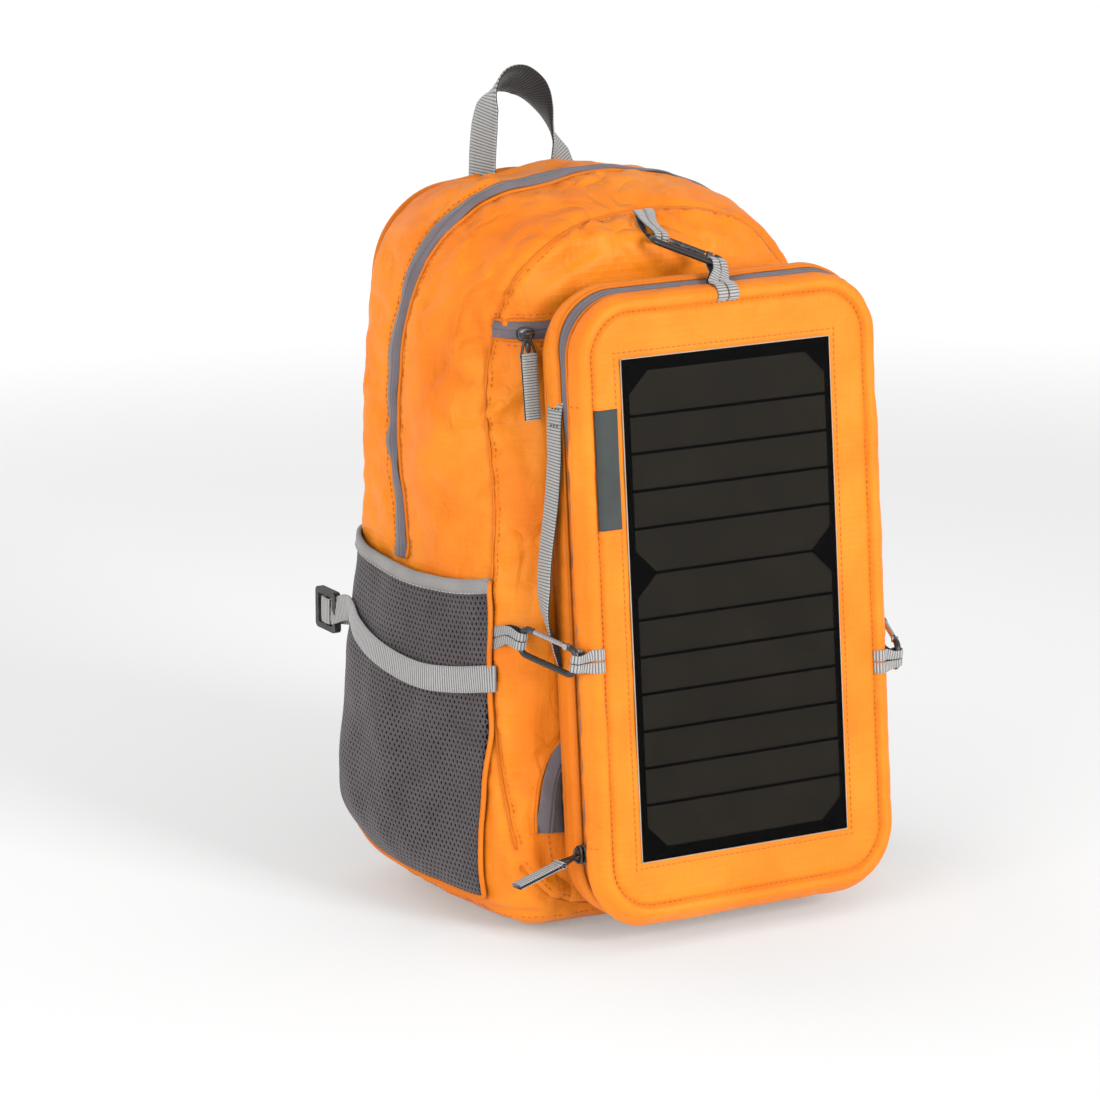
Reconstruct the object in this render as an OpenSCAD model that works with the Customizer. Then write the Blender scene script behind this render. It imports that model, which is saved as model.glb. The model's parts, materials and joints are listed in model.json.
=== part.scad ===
// Solar backpack: a soft daypack with a zipped solar pouch clipped to its front.
// Origin: on the ground under the pack. The front faces -Y, +X is to the right seen from the front.

/* [Pack body] */
// Width of the pack across the side panels
body_w = 268; // [256:1:276]
// Height of the pack without its grab handle
body_h = 412; // [406:1:420]
// Distance from the origin back to the padded back panel
rear_y = 64; // [60:1:68]
// Thickness of the sewn shell
wall = 3; // [2:0.5:4]
// Thickness of the padded back panel
back_pad_t = 12; // [8:1:14]
// Depth position of the main zip
zip_y = 22; // [16:1:28]
// Width of the main zip's tape
zip_w = 12; // [8:1:16]

/* [Side pockets] */
// Height of the mesh pockets' top edge
pocket_top = 206; // [180:1:220]
// How far a filled mesh pocket stands out
pocket_bulge = 10; // [7:1:13]
// Width of the compression straps
strap_w = 15; // [12:1:20]

/* [Solar pouch] */
// Width of the pouch
pouch_w = 192; // [186:1:200]
// Height of the pouch
pouch_h = 347; // [340:1:352]
// Corner radius of the pouch
pouch_r = 34; // [24:1:44]
// Depth of the pouch at half its height
pouch_d = 36; // [33:1:37]
// How far the pouch leans back from upright, in degrees
pouch_lean = 5.3; // [4:0.1:6]
// Width of the solar panel
panel_w = 134; // [120:1:140]
// Height of the solar panel
panel_h = 279; // [260:1:284]

/* [Webbing and clips] */
// Thickness of the webbing
web_t = 1.4; // [1:0.1:2]
// Width of the grab handle's webbing
grab_w = 25; // [20:1:30]
// Height of the grab handle above the pack
grab_h = 55; // [45:1:65]
// Length of a carabiner, measured on its bar's centre line
clip_l = 40; // [39:0.5:41]
// Width of a carabiner, measured on its bar's centre line
clip_w = 15; // [14:1:18]
// Radius of a carabiner's bar
clip_r = 1.8; // [1.5:0.1:2]

/* [Hidden] */
$fn = 48;
soft_fn = 24;
far = 900;
half_w = body_w / 2;
orange = [1, 0.58, 0.2];
zip_grey = [0.42, 0.38, 0.38];
mesh_grey = [0.25, 0.22, 0.23];
web_grey = [0.72, 0.7, 0.69];
black = [0.06, 0.06, 0.06];
steel = [0.7, 0.7, 0.72];

// The body's fabric is stretched over corner rounds, each given as [x, y, z, radius].
// The right shoulder has settled, so its rounds are larger and lower than the left one's.
foot_r = 36;
foot_lift = 12;
shoulder_drop = 110;
settled_x = 20;
settled_r = 101;
rear_rounds = [
    [-half_w + 66, rear_y, body_h - 65, 55],
    [-12, rear_y, body_h - 84, 80],
    [settled_x + 2, rear_y, body_h - shoulder_drop, settled_r - 1],
    [-half_w + foot_r + 2, rear_y, foot_lift + foot_r, foot_r],
    [half_w - foot_r - 2, rear_y, foot_lift + foot_r, foot_r]
];
middle_y = 16;
middle_rounds = [
    [-half_w + 68, middle_y, body_h - 62, 57],
    [-14, middle_y, body_h - 82, 82],
    [settled_x, middle_y, body_h - shoulder_drop, settled_r],
    [-half_w + foot_r, middle_y - 2, foot_r - 1, foot_r],
    [half_w - foot_r, middle_y - 2, foot_r - 1, foot_r]
];
// The front's six corners: [x, z, radius at the edge, radius at the face].
belly_z = 190;
brow_drop = 69;
brow_r = 46;
front_corners = [
    [-half_w + 76, body_h - brow_drop, 50, brow_r],
    [25, body_h - 87, 66, 54],
    [-half_w + 44, belly_z, 32, 20],
    [half_w - 46, belly_z, 32, 20],
    [-half_w + 38, foot_r - 1, 34, 22],
    [half_w - 38, foot_r - 1, 34, 22]
];
top_face_y = -60;
mid_face_y = -91;
low_face_y = -97;
face_y = [top_face_y, top_face_y, mid_face_y, mid_face_y, low_face_y, low_face_y];
edge_y = [-48, -48, -82, -82, -82, -82];
edge_rounds = [for (i = [0:5]) let (c = front_corners[i]) [c[0], edge_y[i], c[1], c[2]]];
face_rounds = [for (i = [0:5]) let (c = front_corners[i]) [c[0], face_y[i], c[1], c[3]]];

bottom_top = 15;
seam_gap = 0.2;
tape_t = 1.4;

// The pouch's own frame: origin at the middle of its front face, z up along the face, y into the pouch.
pouch_y = -132;
pouch_z = 190;
pouch_taper = 0.02;
pouch_wall = 2;
front_gusset = 13;
pouch_zip_w = 8;
panel_x = -3;
sheet_t = 1.2;
cell_t = 0.3;
film_t = 0.4;
panel_gap = 0.1;

// The carabiners: centre, heading and pitch. The right one is the left one mirrored and set lower.
loop_w = 10;
top_clip_at = [-5.5, -83, 377.5];
top_clip_turn = [0, 19, -39.6];
side_clip_at = [-111.4, -114, 169.5];
side_clip_turn = [0, 10, -71];
right_clip_drop = 24;
clip_corner = 5;
pin_r = 0.6;
pin_fit = 0.05;
gate_r = 1.5;
fork_r = 1.7;
fork_h = 3.6;
gate_pivot = clip_l / 2 - clip_corner - 3;
gate_tip = -clip_l / 2 + clip_corner + 3.5;
nose_gap = 0.6;
tongue_t = 1.2;
tongue_gap = 0.1;

// ---------- shared shapes ----------

// A thin disc that faces forward, one corner round of the body.
module round_disc(c, grow, ahead) {
    translate([c[0], c[1] - ahead, c[2]])
        rotate([90, 0, 0])
            cylinder(r = c[3] + grow, h = 0.5, $fn = soft_fn);
}

// The outer form of the packed body, grown outwards by g.
module body_form(g = 0) {
    hull() {
        for (c = concat(rear_rounds, middle_rounds)) round_disc(c, g, 0);
        for (c = edge_rounds) round_disc(c, g, 0);
        for (c = face_rounds) round_disc(c, g, g);
    }
}

// A layer that follows the body, from outset a to outset b.
module body_layer(a, b) {
    difference() {
        body_form(b);
        body_form(a);
    }
}

module above(z) {
    translate([-far / 2, -far / 2, z]) cube(far);
}

module in_front_of(y) {
    translate([-far / 2, y - far, -far / 2]) cube(far);
}

// A box given by its two opposite corners.
module span(a, b) {
    translate(a) cube(b - a);
}

// Mirrors a left-hand part to the right when side is 1.
module on_side(side) {
    mirror([side > 0 ? 1 : 0, 0, 0]) children();
}

module rounded_rect(w, h, r) {
    square([w - 2 * r, h], center = true);
    square([w, h - 2 * r], center = true);
    for (x = [-1, 1], y = [-1, 1]) translate([x * (w / 2 - r), y * (h / 2 - r)]) circle(r);
}

// An upright slab with rounded corners, from depth y0 back to y1.
module slab(w, h, r, y0, y1) {
    translate([0, y1, 0]) rotate([90, 0, 0]) linear_extrude(y1 - y0) rounded_rect(w, h, r);
}

module in_pouch() {
    translate([0, pouch_y, pouch_z]) rotate([-pouch_lean, 0, 0]) children();
}

// A folded webbing loop whose eye runs along z: a ring with a flat two-layer tail towards -x.
module web_loop(tail, eye_r = 3.4) {
    outer = eye_r + web_t;
    difference() {
        union() {
            cylinder(r = outer, h = loop_w, center = true);
            translate([-tail / 2 - eye_r, 0, 0])
                cube([tail, 2 * web_t, loop_w], center = true);
        }
        cylinder(r = eye_r, h = loop_w + 1, center = true);
    }
}

// ---------- pack body ----------

// The padded back panel is a crowned slab: smaller at its outer face than at its seam.
pad_seam_inset = 1;
pad_crown_inset = 6;

module back_panel() {
    color(orange)
        hull()
            for (c = rear_rounds, step = [[seam_gap, pad_seam_inset], [back_pad_t, pad_crown_inset]])
                translate([c[0], c[1] + step[0], c[2]])
                    rotate([90, 0, 0])
                        cylinder(r = c[3] - step[1], h = 0.1, $fn = soft_fn);
}

foam_t = 8;
foam_side = 40;
foam_foot = 40;
foam_top = 114;

module back_foam() {
    color("dimgray")
        span([-half_w + foam_side, rear_y - foam_t - 1, foam_foot],
            [half_w - foam_side, rear_y - 1, body_h - foam_top]);
}

module rear_shell() {
    color(orange)
        intersection() {
            body_layer(-wall, 0);
            above(bottom_top + seam_gap);
            difference() {
                span([-far, zip_y + seam_gap, 0], [far, rear_y - seam_gap, far]);
                span([-far, 0, pocket_top], [far, zip_y + zip_w / 2 + seam_gap, far]);
            }
        }
}

module front_shell() {
    color(orange)
        intersection() {
            body_layer(-wall, 0);
            above(bottom_top + seam_gap);
            difference() {
                in_front_of(zip_y);
                span([-far, zip_y - zip_w / 2 - seam_gap, pocket_top], [far, far, far]);
            }
        }
}

module bottom_panel() {
    color(orange)
        intersection() {
            body_layer(-wall, 0);
            span([-far, -far, 0], [far, rear_y - seam_gap, bottom_top]);
        }
}

tape_sink = 0.6;

module main_zip() {
    color(zip_grey)
        intersection() {
            body_layer(-tape_t - tape_sink, -tape_sink);
            span(
                [-far, zip_y - zip_w / 2, pocket_top + seam_gap],
                [far, zip_y + zip_w / 2, far]
            );
        }
}

// ---------- zip sliders and pulls ----------

// A slider lies on the zip with its face towards -y. Its bail is an arch that the pull hangs from.
slider_l = 11;
slider_w = 8;
slider_t = 3;
bail_h = 2.8;
bail_span = 6;
bail_wire = 1;

module slider(l, w) {
    color(black) {
        translate([0, -slider_t / 2, 0]) cube([l, slider_t, w], center = true);
        translate([0, -slider_t - bail_h / 2 + 0.1, 0])
            difference() {
                cube([2 * bail_wire, bail_h + 0.2, bail_span], center = true);
                translate([0, bail_wire, 0])
                    cube([far, bail_h + 0.2, bail_span - 2 * bail_wire], center = true);
            }
    }
}

// The pull: a wire frame whose round top bar runs through the bail, and a webbing tab of length l.
bail_y = -slider_t - (bail_h - bail_wire) / 2;
frame_w = 6;
frame_h = 13;
frame_t = 1;
tab_w = 11;

module pull(l) {
    color(web_grey)
        translate([0, bail_y, 0]) {
            translate([-frame_w / 2, 0, 0])
                rotate([0, 90, 0])
                    cylinder(r = frame_t / 2, h = frame_w);
            difference() {
                span([-frame_w / 2, -frame_t / 2, -frame_h], [frame_w / 2, frame_t / 2, 0]);
                span([-frame_w / 2 + 1, -1, 1 - frame_h], [frame_w / 2 - 1, 1, 1]);
            }
            span([-tab_w / 2, -web_t, -frame_h - l], [tab_w / 2, 0.2, -frame_h]);
        }
}

// Turns a pull about its bail, outwards by a degrees.
module swung(a) {
    translate([0, bail_y, 0]) rotate([-a, 0, 0]) translate([0, -bail_y, 0]) children();
}

// Where each slider sits at rest. All three are at the closed end of their zips.
side_lean = atan((half_w - (settled_x + settled_r)) / (body_h - shoulder_drop - foot_r));
main_slider_z = pocket_top + 46;
main_slider_x = half_w - (main_slider_z - foot_r) * tan(side_lean);
brow_top = body_h - brow_drop + brow_r;
face_slope = (top_face_y - mid_face_y) / (brow_top - belly_z - front_corners[2][3]);
face_lean = atan(face_slope);
front_zip_z = body_h - 74;
front_zip_w = 12;
front_zip_x0 = -half_w + 26;
front_zip_x1 = 72;
front_slider_x = front_zip_x0 + slider_l / 2;
front_slider_y = top_face_y - (brow_top - front_zip_z) * face_slope - tape_t - 1;
front_pull_hang = 3;
side_slider_lift = 0.6;
pouch_slider_lift = 0.3;
pouch_slider_z = -pouch_h / 2 + pouch_r + 6;
pouch_pull_out = 72;

module at_main_slider() {
    translate([main_slider_x + side_slider_lift, zip_y, main_slider_z])
        rotate([0, -side_lean, 0])
            rotate([0, 0, 90])
                children();
}

module at_front_slider() {
    translate([front_slider_x, front_slider_y, front_zip_z])
        rotate([-face_lean, 0, 0])
            children();
}

module at_pouch_slider() {
    in_pouch()
        translate([
            -pouch_w / 2 - pouch_slider_lift,
            front_gusset + pouch_zip_w / 2,
            pouch_slider_z
        ])
            rotate([0, 0, -90])
                children();
}

// Length of each pull's webbing tab
main_tab = 26;
front_tab = 36;
pouch_tab = 30;

module main_zip_slider() {
    at_main_slider() slider(slider_w, slider_l);
}

module main_zip_pull() {
    at_main_slider() pull(main_tab);
}

module front_pocket_slider() {
    at_front_slider() slider(slider_l, slider_w);
}

module front_pocket_pull() {
    at_front_slider() swung(-front_pull_hang) pull(front_tab);
}

module pouch_zip_slider() {
    at_pouch_slider() slider(slider_w, slider_l);
}

module pouch_zip_pull() {
    at_pouch_slider() swung(pouch_pull_out) pull(pouch_tab);
}

// ---------- front pockets ----------

module front_pocket_zip() {
    color(zip_grey)
        intersection() {
            body_layer(seam_gap, tape_t);
            span(
                [front_zip_x0, -far, front_zip_z - front_zip_w / 2],
                [front_zip_x1, edge_y[0] - 2, front_zip_z + front_zip_w / 2]
            );
        }
}

lower_pocket_w = 212;
lower_pocket_top = 124;
lower_pocket_r = 46;
lower_pocket_foot = 60;
lower_zip_w = 18;

module lower_pocket_zip() {
    color(zip_grey)
        intersection() {
            body_layer(seam_gap, tape_t);
            span([-far, -far, lower_pocket_foot], [far, top_face_y, far]);
            rotate([90, 0, 0])
                linear_extrude(far)
                    difference() {
                        rounded_rect(lower_pocket_w, 2 * lower_pocket_top, lower_pocket_r);
                        rounded_rect(
                            lower_pocket_w - 2 * lower_zip_w,
                            2 * (lower_pocket_top - lower_zip_w),
                            lower_pocket_r - lower_zip_w
                        );
                    }
        }
}

// ---------- side pockets and straps ----------

pocket_front_y = -80;
pocket_rear_y = rear_y - 4;
pocket_foot = 18;
binding_h = 9;
net_t = 2;
side_zone_x = -60;

// The part of the body's side that a pocket covers, inset by i on its sewn edges. side is -1 or 1.
module pocket_zone(side, i, top) {
    on_side(side)
        span([-far, pocket_front_y + i, pocket_foot + i], [side_zone_x, pocket_rear_y - i, top]);
}

module mesh_pocket(side) {
    color(mesh_grey)
        difference() {
            intersection() {
                body_layer(1, pocket_bulge);
                pocket_zone(side, 0, pocket_top - binding_h);
            }
            intersection() {
                body_form(pocket_bulge - net_t);
                pocket_zone(side, net_t, pocket_top);
            }
        }
}

module left_mesh_pocket() {
    mesh_pocket(-1);
}

module right_mesh_pocket() {
    mesh_pocket(1);
}

module pocket_binding(side) {
    color(web_grey)
        intersection() {
            body_layer(pocket_bulge - net_t, pocket_bulge);
            difference() {
                pocket_zone(side, 0, pocket_top);
                pocket_zone(side, -far, pocket_top - binding_h + 0.1);
            }
        }
}

module left_pocket_binding() {
    pocket_binding(-1);
}

module right_pocket_binding() {
    pocket_binding(1);
}

strap_z = 152;
strap_gap = 0.8;

module compression_strap(side) {
    color(web_grey)
        intersection() {
            body_layer(pocket_bulge + strap_gap, pocket_bulge + strap_gap + web_t);
            on_side(side)
                span([-far, pocket_front_y, strap_z - strap_w / 2],
                    [side_zone_x, pocket_rear_y - 4, strap_z + strap_w / 2]);
        }
}

module left_compression_strap() {
    compression_strap(-1);
}

module right_compression_strap() {
    compression_strap(1);
}

// A ladder lock: a moulded frame with two slots for the webbing. It lies in the x-z plane.
module ladder_lock(w, h, t) {
    bar = 3.5;
    slot_h = (h - 3 * bar) / 2;
    color(black)
        rotate([90, 0, 0])
            linear_extrude(t, center = true)
                difference() {
                    rounded_rect(w, h, 3);
                    for (s = [-1, 1])
                        translate([0, s * (slot_h + bar) / 2])
                            square([w - 2 * bar, slot_h], center = true);
                }
}

lock_t = 4;
lock_h = 24;
lock_side = 9;
lock_x = -half_w - pocket_bulge - lock_t;
lock_y = rear_y + 12;
lock_z = strap_z + 4;

module side_lock(side) {
    on_side(side)
        translate([lock_x, lock_y, lock_z])
            rotate([0, 90, 90])
                ladder_lock(strap_w + lock_side, lock_h, lock_t);
}

module left_ladder_lock() {
    side_lock(-1);
}

module right_ladder_lock() {
    side_lock(1);
}

// ---------- carrying ----------

grab_x = -21;
grab_y = rear_y + 6;
grab_span = 52;
grab_pivot_z = body_h + 9;

module grab_handle() {
    arch_r = grab_span / 2;
    arch_z = body_h + grab_h - arch_r - web_t;
    color(web_grey)
        intersection() {
            translate([grab_x, grab_y + grab_w / 2, 0])
                rotate([90, 0, 0])
                    linear_extrude(grab_w)
                        difference() {
                            union() {
                                translate([0, arch_z]) circle(arch_r + web_t);
                                translate([-arch_r - web_t, 0])
                                    square([2 * (arch_r + web_t), arch_z]);
                            }
                            translate([0, arch_z]) circle(arch_r - web_t);
                            translate([-arch_r + web_t, -1])
                                square([2 * (arch_r - web_t), arch_z + 1]);
                        }
            translate([-far / 2, grab_y, 0])
                rotate([90, 0, 90])
                    linear_extrude(far) {
                        translate([0, grab_pivot_z]) circle(grab_w / 2);
                        translate([-grab_w / 2, grab_pivot_z]) square([grab_w, far]);
                    }
        }
}

// Shoulder straps: padded bands that bow back from the panel between a top and a lower seam.
shoulder_x = 50;
shoulder_w = 60;
shoulder_t = 11;
shoulder_top = body_h - 34;
shoulder_low = 150;
shoulder_bow = 26;
shoulder_end_gap = 4;
shoulder_y = rear_y + back_pad_t + 3;
shoulder_splay = 6;
bow_steps = 12;

// Depth of the strap's inner face at share s of its length, counted from the top.
function bow_at(s) = shoulder_bow * sin(180 * s) + shoulder_end_gap * s;

module shoulder_profile() {
    length = shoulder_top - shoulder_low;
    polygon(concat(
        [for (i = [0:bow_steps]) [bow_at(i / bow_steps), -length * i / bow_steps]],
        [for (i = [bow_steps:-1:0])
            [bow_at(i / bow_steps) + shoulder_t, -length * i / bow_steps]]
    ));
}

module at_shoulder(side) {
    on_side(side)
        translate([-shoulder_x, shoulder_y, shoulder_top])
            rotate([0, shoulder_splay, 0])
                children();
}

module shoulder_strap(side) {
    color(orange)
        at_shoulder(side)
            translate([-shoulder_w / 2, 0, 0])
                rotate([90, 0, 90])
                    linear_extrude(shoulder_w)
                        shoulder_profile();
}

module left_shoulder_strap() {
    shoulder_strap(-1);
}

module right_shoulder_strap() {
    shoulder_strap(1);
}

strap_end_drop = shoulder_top - shoulder_low;
strap_end_y = shoulder_end_gap + shoulder_t / 2;
adjuster_h = 26;
adjuster_w = 32;
adjuster_t = 5;
webbing_w = 24;
webbing_l = 72;
webbing_hang = 5;

module strap_adjuster(side) {
    at_shoulder(side)
        translate([0, strap_end_y, -strap_end_drop - adjuster_h / 2 - 1])
            ladder_lock(adjuster_w, adjuster_h, adjuster_t);
}

module left_strap_adjuster() {
    strap_adjuster(-1);
}

module right_strap_adjuster() {
    strap_adjuster(1);
}

module strap_webbing(side) {
    color(web_grey)
        at_shoulder(side)
            translate([0, strap_end_y + adjuster_t / 2 + web_t + 0.2, -strap_end_drop - adjuster_h / 2])
                rotate([-webbing_hang, 0, 0])
                    span([-webbing_w / 2, 0, -webbing_l], [webbing_w / 2, web_t, 0]);
}

module left_strap_webbing() {
    strap_webbing(-1);
}

module right_strap_webbing() {
    strap_webbing(1);
}

// ---------- solar pouch ----------

module pouch_ring(w, h, r, t, y0, y1) {
    difference() {
        slab(w, h, r, y0, y1);
        slab(w - 2 * t, h - 2 * t, r - t, y0 - 1, y1 + 1);
    }
}

module pouch_front_shell() {
    color(orange)
        in_pouch() {
            slab(pouch_w, pouch_h, pouch_r, 0, pouch_wall);
            pouch_ring(pouch_w, pouch_h, pouch_r, pouch_wall, pouch_wall, front_gusset);
        }
}

module pouch_zip() {
    color(zip_grey)
        in_pouch()
            pouch_ring(pouch_w - 1, pouch_h - 1, pouch_r - 0.5, 1,
                front_gusset + 0.1, front_gusset + pouch_zip_w - 0.1);
}

rear_shell_y = front_gusset + pouch_zip_w;

// The pouch is deeper at its top: its back lies on this slope.
module pouch_wedge(d) {
    translate([0, d, 0])
        rotate([-atan(pouch_taper), 0, 0])
            in_front_of(0);
}

module pouch_rear_shell() {
    color(orange)
        in_pouch()
            difference() {
                intersection() {
                    slab(pouch_w, pouch_h, pouch_r, rear_shell_y, pouch_d + 20);
                    pouch_wedge(pouch_d);
                }
                intersection() {
                    slab(pouch_w - 2 * pouch_wall, pouch_h - 2 * pouch_wall,
                        pouch_r - pouch_wall, rear_shell_y - 1, pouch_d + 20);
                    pouch_wedge(pouch_d - pouch_wall);
                }
            }
}

// Places a layer on the pouch's face, from y0 to y1 ahead of it.
module in_panel(y0, y1) {
    in_pouch()
        translate([panel_x, -y0, 0])
            rotate([90, 0, 0])
                linear_extrude(y1 - y0)
                    children();
}

module solar_backsheet() {
    color(black)
        in_panel(panel_gap, panel_gap + sheet_t) rounded_rect(panel_w, panel_h, 1.5);
}

// Twelve strips cut from two wafers with clipped corners: five strips above, seven below.
cells_w = panel_w - 8.6;
cells_h = panel_h - 13;
upper_strips = 5;
lower_strips = 7;
strip_gap = 1.8;
corner_clip = 13;
end_share = 1.22;
strip_h = cells_h / (upper_strips + lower_strips + 4 * (end_share - 1));

function bank_h(n) = strip_h * (n + 2 * (end_share - 1));

module clipped_bank(h) {
    w = cells_w / 2;
    c = corner_clip;
    polygon([[-w, c], [c - w, 0], [w - c, 0], [w, c], [w, h - c], [w - c, h], [c - w, h], [-w, h - c]]);
}

module cell_bank(n) {
    h = bank_h(n);
    difference() {
        clipped_bank(h);
        for (i = [1:n - 1])
            translate([-cells_w, strip_h * (end_share - 1 + i) - strip_gap / 2])
                square([2 * cells_w, strip_gap]);
        for (y = [0, h]) translate([-cells_w, y - strip_gap / 2]) square([2 * cells_w, strip_gap]);
    }
}

module solar_cells() {
    sheet_face = panel_gap + sheet_t;
    color([0.18, 0.16, 0.14])
        in_panel(sheet_face, sheet_face + cell_t)
            translate([0, -cells_h / 2]) {
                cell_bank(lower_strips);
                translate([0, bank_h(lower_strips)]) cell_bank(upper_strips);
            }
}

module solar_film() {
    cell_face = panel_gap + sheet_t + cell_t;
    color([0.3, 0.3, 0.32, 0.3])
        in_panel(cell_face + 0.02, cell_face + 0.02 + film_t)
            rounded_rect(panel_w - 0.6, panel_h - 0.6, 1.2);
}

label_w = 14;
label_h = 66;
label_t = 0.6;
label_z = 80;
label_gap = 3.5;

module label_patch() {
    color([0.33, 0.36, 0.35])
        in_pouch()
            translate([panel_x - panel_w / 2 - label_gap - label_w / 2, 0, label_z])
                slab(label_w, label_h, 1, -panel_gap - label_t, -panel_gap);
}

// Inside the pouch: the charge controller with its USB socket, and the panel's lead.
case_w = 62;
case_h = 40;
case_t = 7;
case_x = 28;
case_z = -112;
case_y = pouch_wall + 0.5;
case_wall = 1.6;
board_t = 1.6;
case_gap = 0.2;

module case_half(y0, y1, floor_at_front) {
    difference() {
        slab(case_w, case_h, 5, y0, y1);
        slab(case_w - 2 * case_wall, case_h - 2 * case_wall, 5 - case_wall,
            floor_at_front ? y0 + case_wall : y0 - 1, floor_at_front ? y1 + 1 : y1 - case_wall);
    }
}

socket_w = 13;
socket_h = 7;
socket_d = 14;
socket_t = 0.5;
socket_y = case_y + case_t - socket_h / 2;
lead_r = 1.6;

module in_case() {
    in_pouch() translate([case_x, 0, case_z]) children();
}

module case_openings() {
    span([-socket_w / 2 - case_gap, socket_y - case_gap, case_h / 2 - socket_d],
        [socket_w / 2 + case_gap, socket_y + socket_h + case_gap, case_h / 2 + 1]);
    translate([-case_w / 2 - 1, case_y + case_t, 0])
        rotate([0, 90, 0])
            cylinder(r = lead_r + case_gap, h = 2 * case_wall + 2);
}

module controller_cover() {
    color(black)
        in_case()
            difference() {
                case_half(case_y, case_y + case_t - 0.1, true);
                case_openings();
            }
}

module controller_base() {
    color(black)
        in_case()
            difference() {
                case_half(case_y + case_t + 0.1, case_y + 2 * case_t, false);
                case_openings();
            }
}

module controller_board() {
    color([0.1, 0.35, 0.15])
        in_case()
            slab(case_w - 2 * case_wall - 1, case_h - 2 * case_wall - 1, 3,
                case_y + case_wall + case_gap, case_y + case_wall + case_gap + board_t);
}

module usb_socket() {
    in_x = socket_w / 2 - socket_t;
    color(steel)
        in_case()
            difference() {
                span([-socket_w / 2, socket_y, case_h / 2 - socket_d + case_gap],
                    [socket_w / 2, socket_y + socket_h, case_h / 2]);
                span([-in_x, socket_y + socket_t, case_h / 2 - socket_d + 2],
                    [in_x, socket_y + socket_h - socket_t, case_h]);
            }
}

module panel_lead() {
    start_x = -case_w / 2 + case_wall + 1;
    run = 46;
    bend = 12;
    rise = 60;
    color(black)
        in_case()
            translate([start_x, case_y + case_t, 0]) {
                rotate([0, -90, 0]) cylinder(r = lead_r, h = run);
                translate([-run, 0, bend])
                    rotate([90, 0, 0])
                        rotate_extrude(angle = 90)
                            translate([-bend, 0]) circle(lead_r);
                translate([-run - bend, 0, bend]) cylinder(r = lead_r, h = rise);
            }
}

// ---------- pouch webbing ----------

carry_w = 16;
carry_top = 102;
carry_low = -18;
carry_bow = 10;
carry_gap = 0.6;

module pouch_handle() {
    length = carry_top - carry_low;
    arc_r = (carry_bow * carry_bow + length * length / 4) / (2 * carry_bow);
    color(web_grey)
        in_pouch()
            translate([
                -pouch_w / 2 - carry_gap - web_t - carry_bow + arc_r,
                rear_shell_y + 1 + carry_w,
                (carry_top + carry_low) / 2
            ])
                rotate([90, 0, 0])
                    linear_extrude(carry_w)
                        intersection() {
                            difference() {
                                circle(arc_r, $fn = 180);
                                circle(arc_r - web_t, $fn = 180);
                            }
                            translate([-arc_r - 1, -length / 2 + 1])
                                square([arc_r, length - 2]);
                        }
}

// ---------- carabiners ----------

module at_top_clip() {
    translate(top_clip_at) rotate(top_clip_turn) children();
}

module at_side_clip(side) {
    translate([0, 0, side > 0 ? -right_clip_drop : 0])
        on_side(side)
            translate(side_clip_at)
                rotate(side_clip_turn)
                    rotate([90, 0, 0])
                        children();
}

// Places its children at each of the ends listed: -1 is the pack's end, 1 the pouch's end.
module clip_loop(end, tail) {
    color(web_grey)
        mirror([end > 0 ? 1 : 0, 0, 0])
            translate([-clip_l / 2, 0, 0])
                rotate([90, 0, 0])
                    web_loop(tail);
}

module top_pack_loop() {
    at_top_clip() clip_loop(-1, 6);
}

module left_pack_loop() {
    at_side_clip(-1) clip_loop(-1, 3);
}

module right_pack_loop() {
    at_side_clip(1) clip_loop(-1, 3);
}

module pouch_top_loop() {
    at_top_clip() clip_loop(1, 5);
}

module pouch_left_loop() {
    at_side_clip(-1) clip_loop(1, 4);
}

module pouch_right_loop() {
    at_side_clip(1) clip_loop(1, 4);
}

// The bar: a rounded rectangle in the x-y plane with a gap for the gate along its +y side.
module clip_bar(a, b) {
    v = b - a;
    translate(a)
        rotate([0, 90, atan2(v[1], v[0])])
            cylinder(r = clip_r, h = norm(v));
}

module clip_bend(x, y, turn) {
    translate([x * (clip_l / 2 - clip_corner), y * (clip_w / 2 - clip_corner), 0])
        rotate([0, 0, turn])
            rotate_extrude(angle = 90)
                translate([clip_corner, 0]) circle(clip_r);
}

module carabiner() {
    l = clip_l / 2;
    w = clip_w / 2;
    c = clip_corner;
    color(black)
        difference() {
            union() {
                clip_bar([c - l, -w, 0], [l - c, -w, 0]);
                for (s = [-1, 1]) clip_bar([s * l, c - w, 0], [s * l, w - c, 0]);
                clip_bend(-1, -1, 180);
                clip_bend(1, -1, 270);
                clip_bend(1, 1, 0);
                clip_bend(-1, 1, 90);
                clip_bar([c - l, w, 0], [gate_tip - nose_gap, w, 0]);
                translate([gate_pivot, w, 0]) {
                    cylinder(r = clip_r, h = tongue_t, center = true);
                    translate([0, -clip_r, -tongue_t / 2])
                        cube([l - c - gate_pivot + 0.5, 2 * clip_r, tongue_t]);
                }
            }
            translate([gate_pivot, w, 0])
                cylinder(r = pin_r + pin_fit, h = 2 * clip_r + 1, center = true);
        }
}

// The gate: a rod that ends in a fork round the bar's tongue.
module gate() {
    w = clip_w / 2;
    color(steel)
        difference() {
            union() {
                translate([gate_tip, w, 0])
                    rotate([0, 90, 0])
                        cylinder(r = gate_r, h = gate_pivot - gate_tip);
                translate([gate_pivot, w, 0])
                    cylinder(r = fork_r, h = fork_h, center = true);
            }
            translate([gate_pivot - clip_r - 1, w - far / 2, -tongue_t / 2 - tongue_gap])
                cube([far, far, tongue_t + 2 * tongue_gap]);
            translate([gate_pivot, w, 0])
                cylinder(r = pin_r + pin_fit, h = fork_h + 1, center = true);
        }
}

module gate_pin() {
    color(steel)
        translate([gate_pivot, clip_w / 2, 0])
            cylinder(r = pin_r, h = fork_h, center = true);
}

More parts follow.
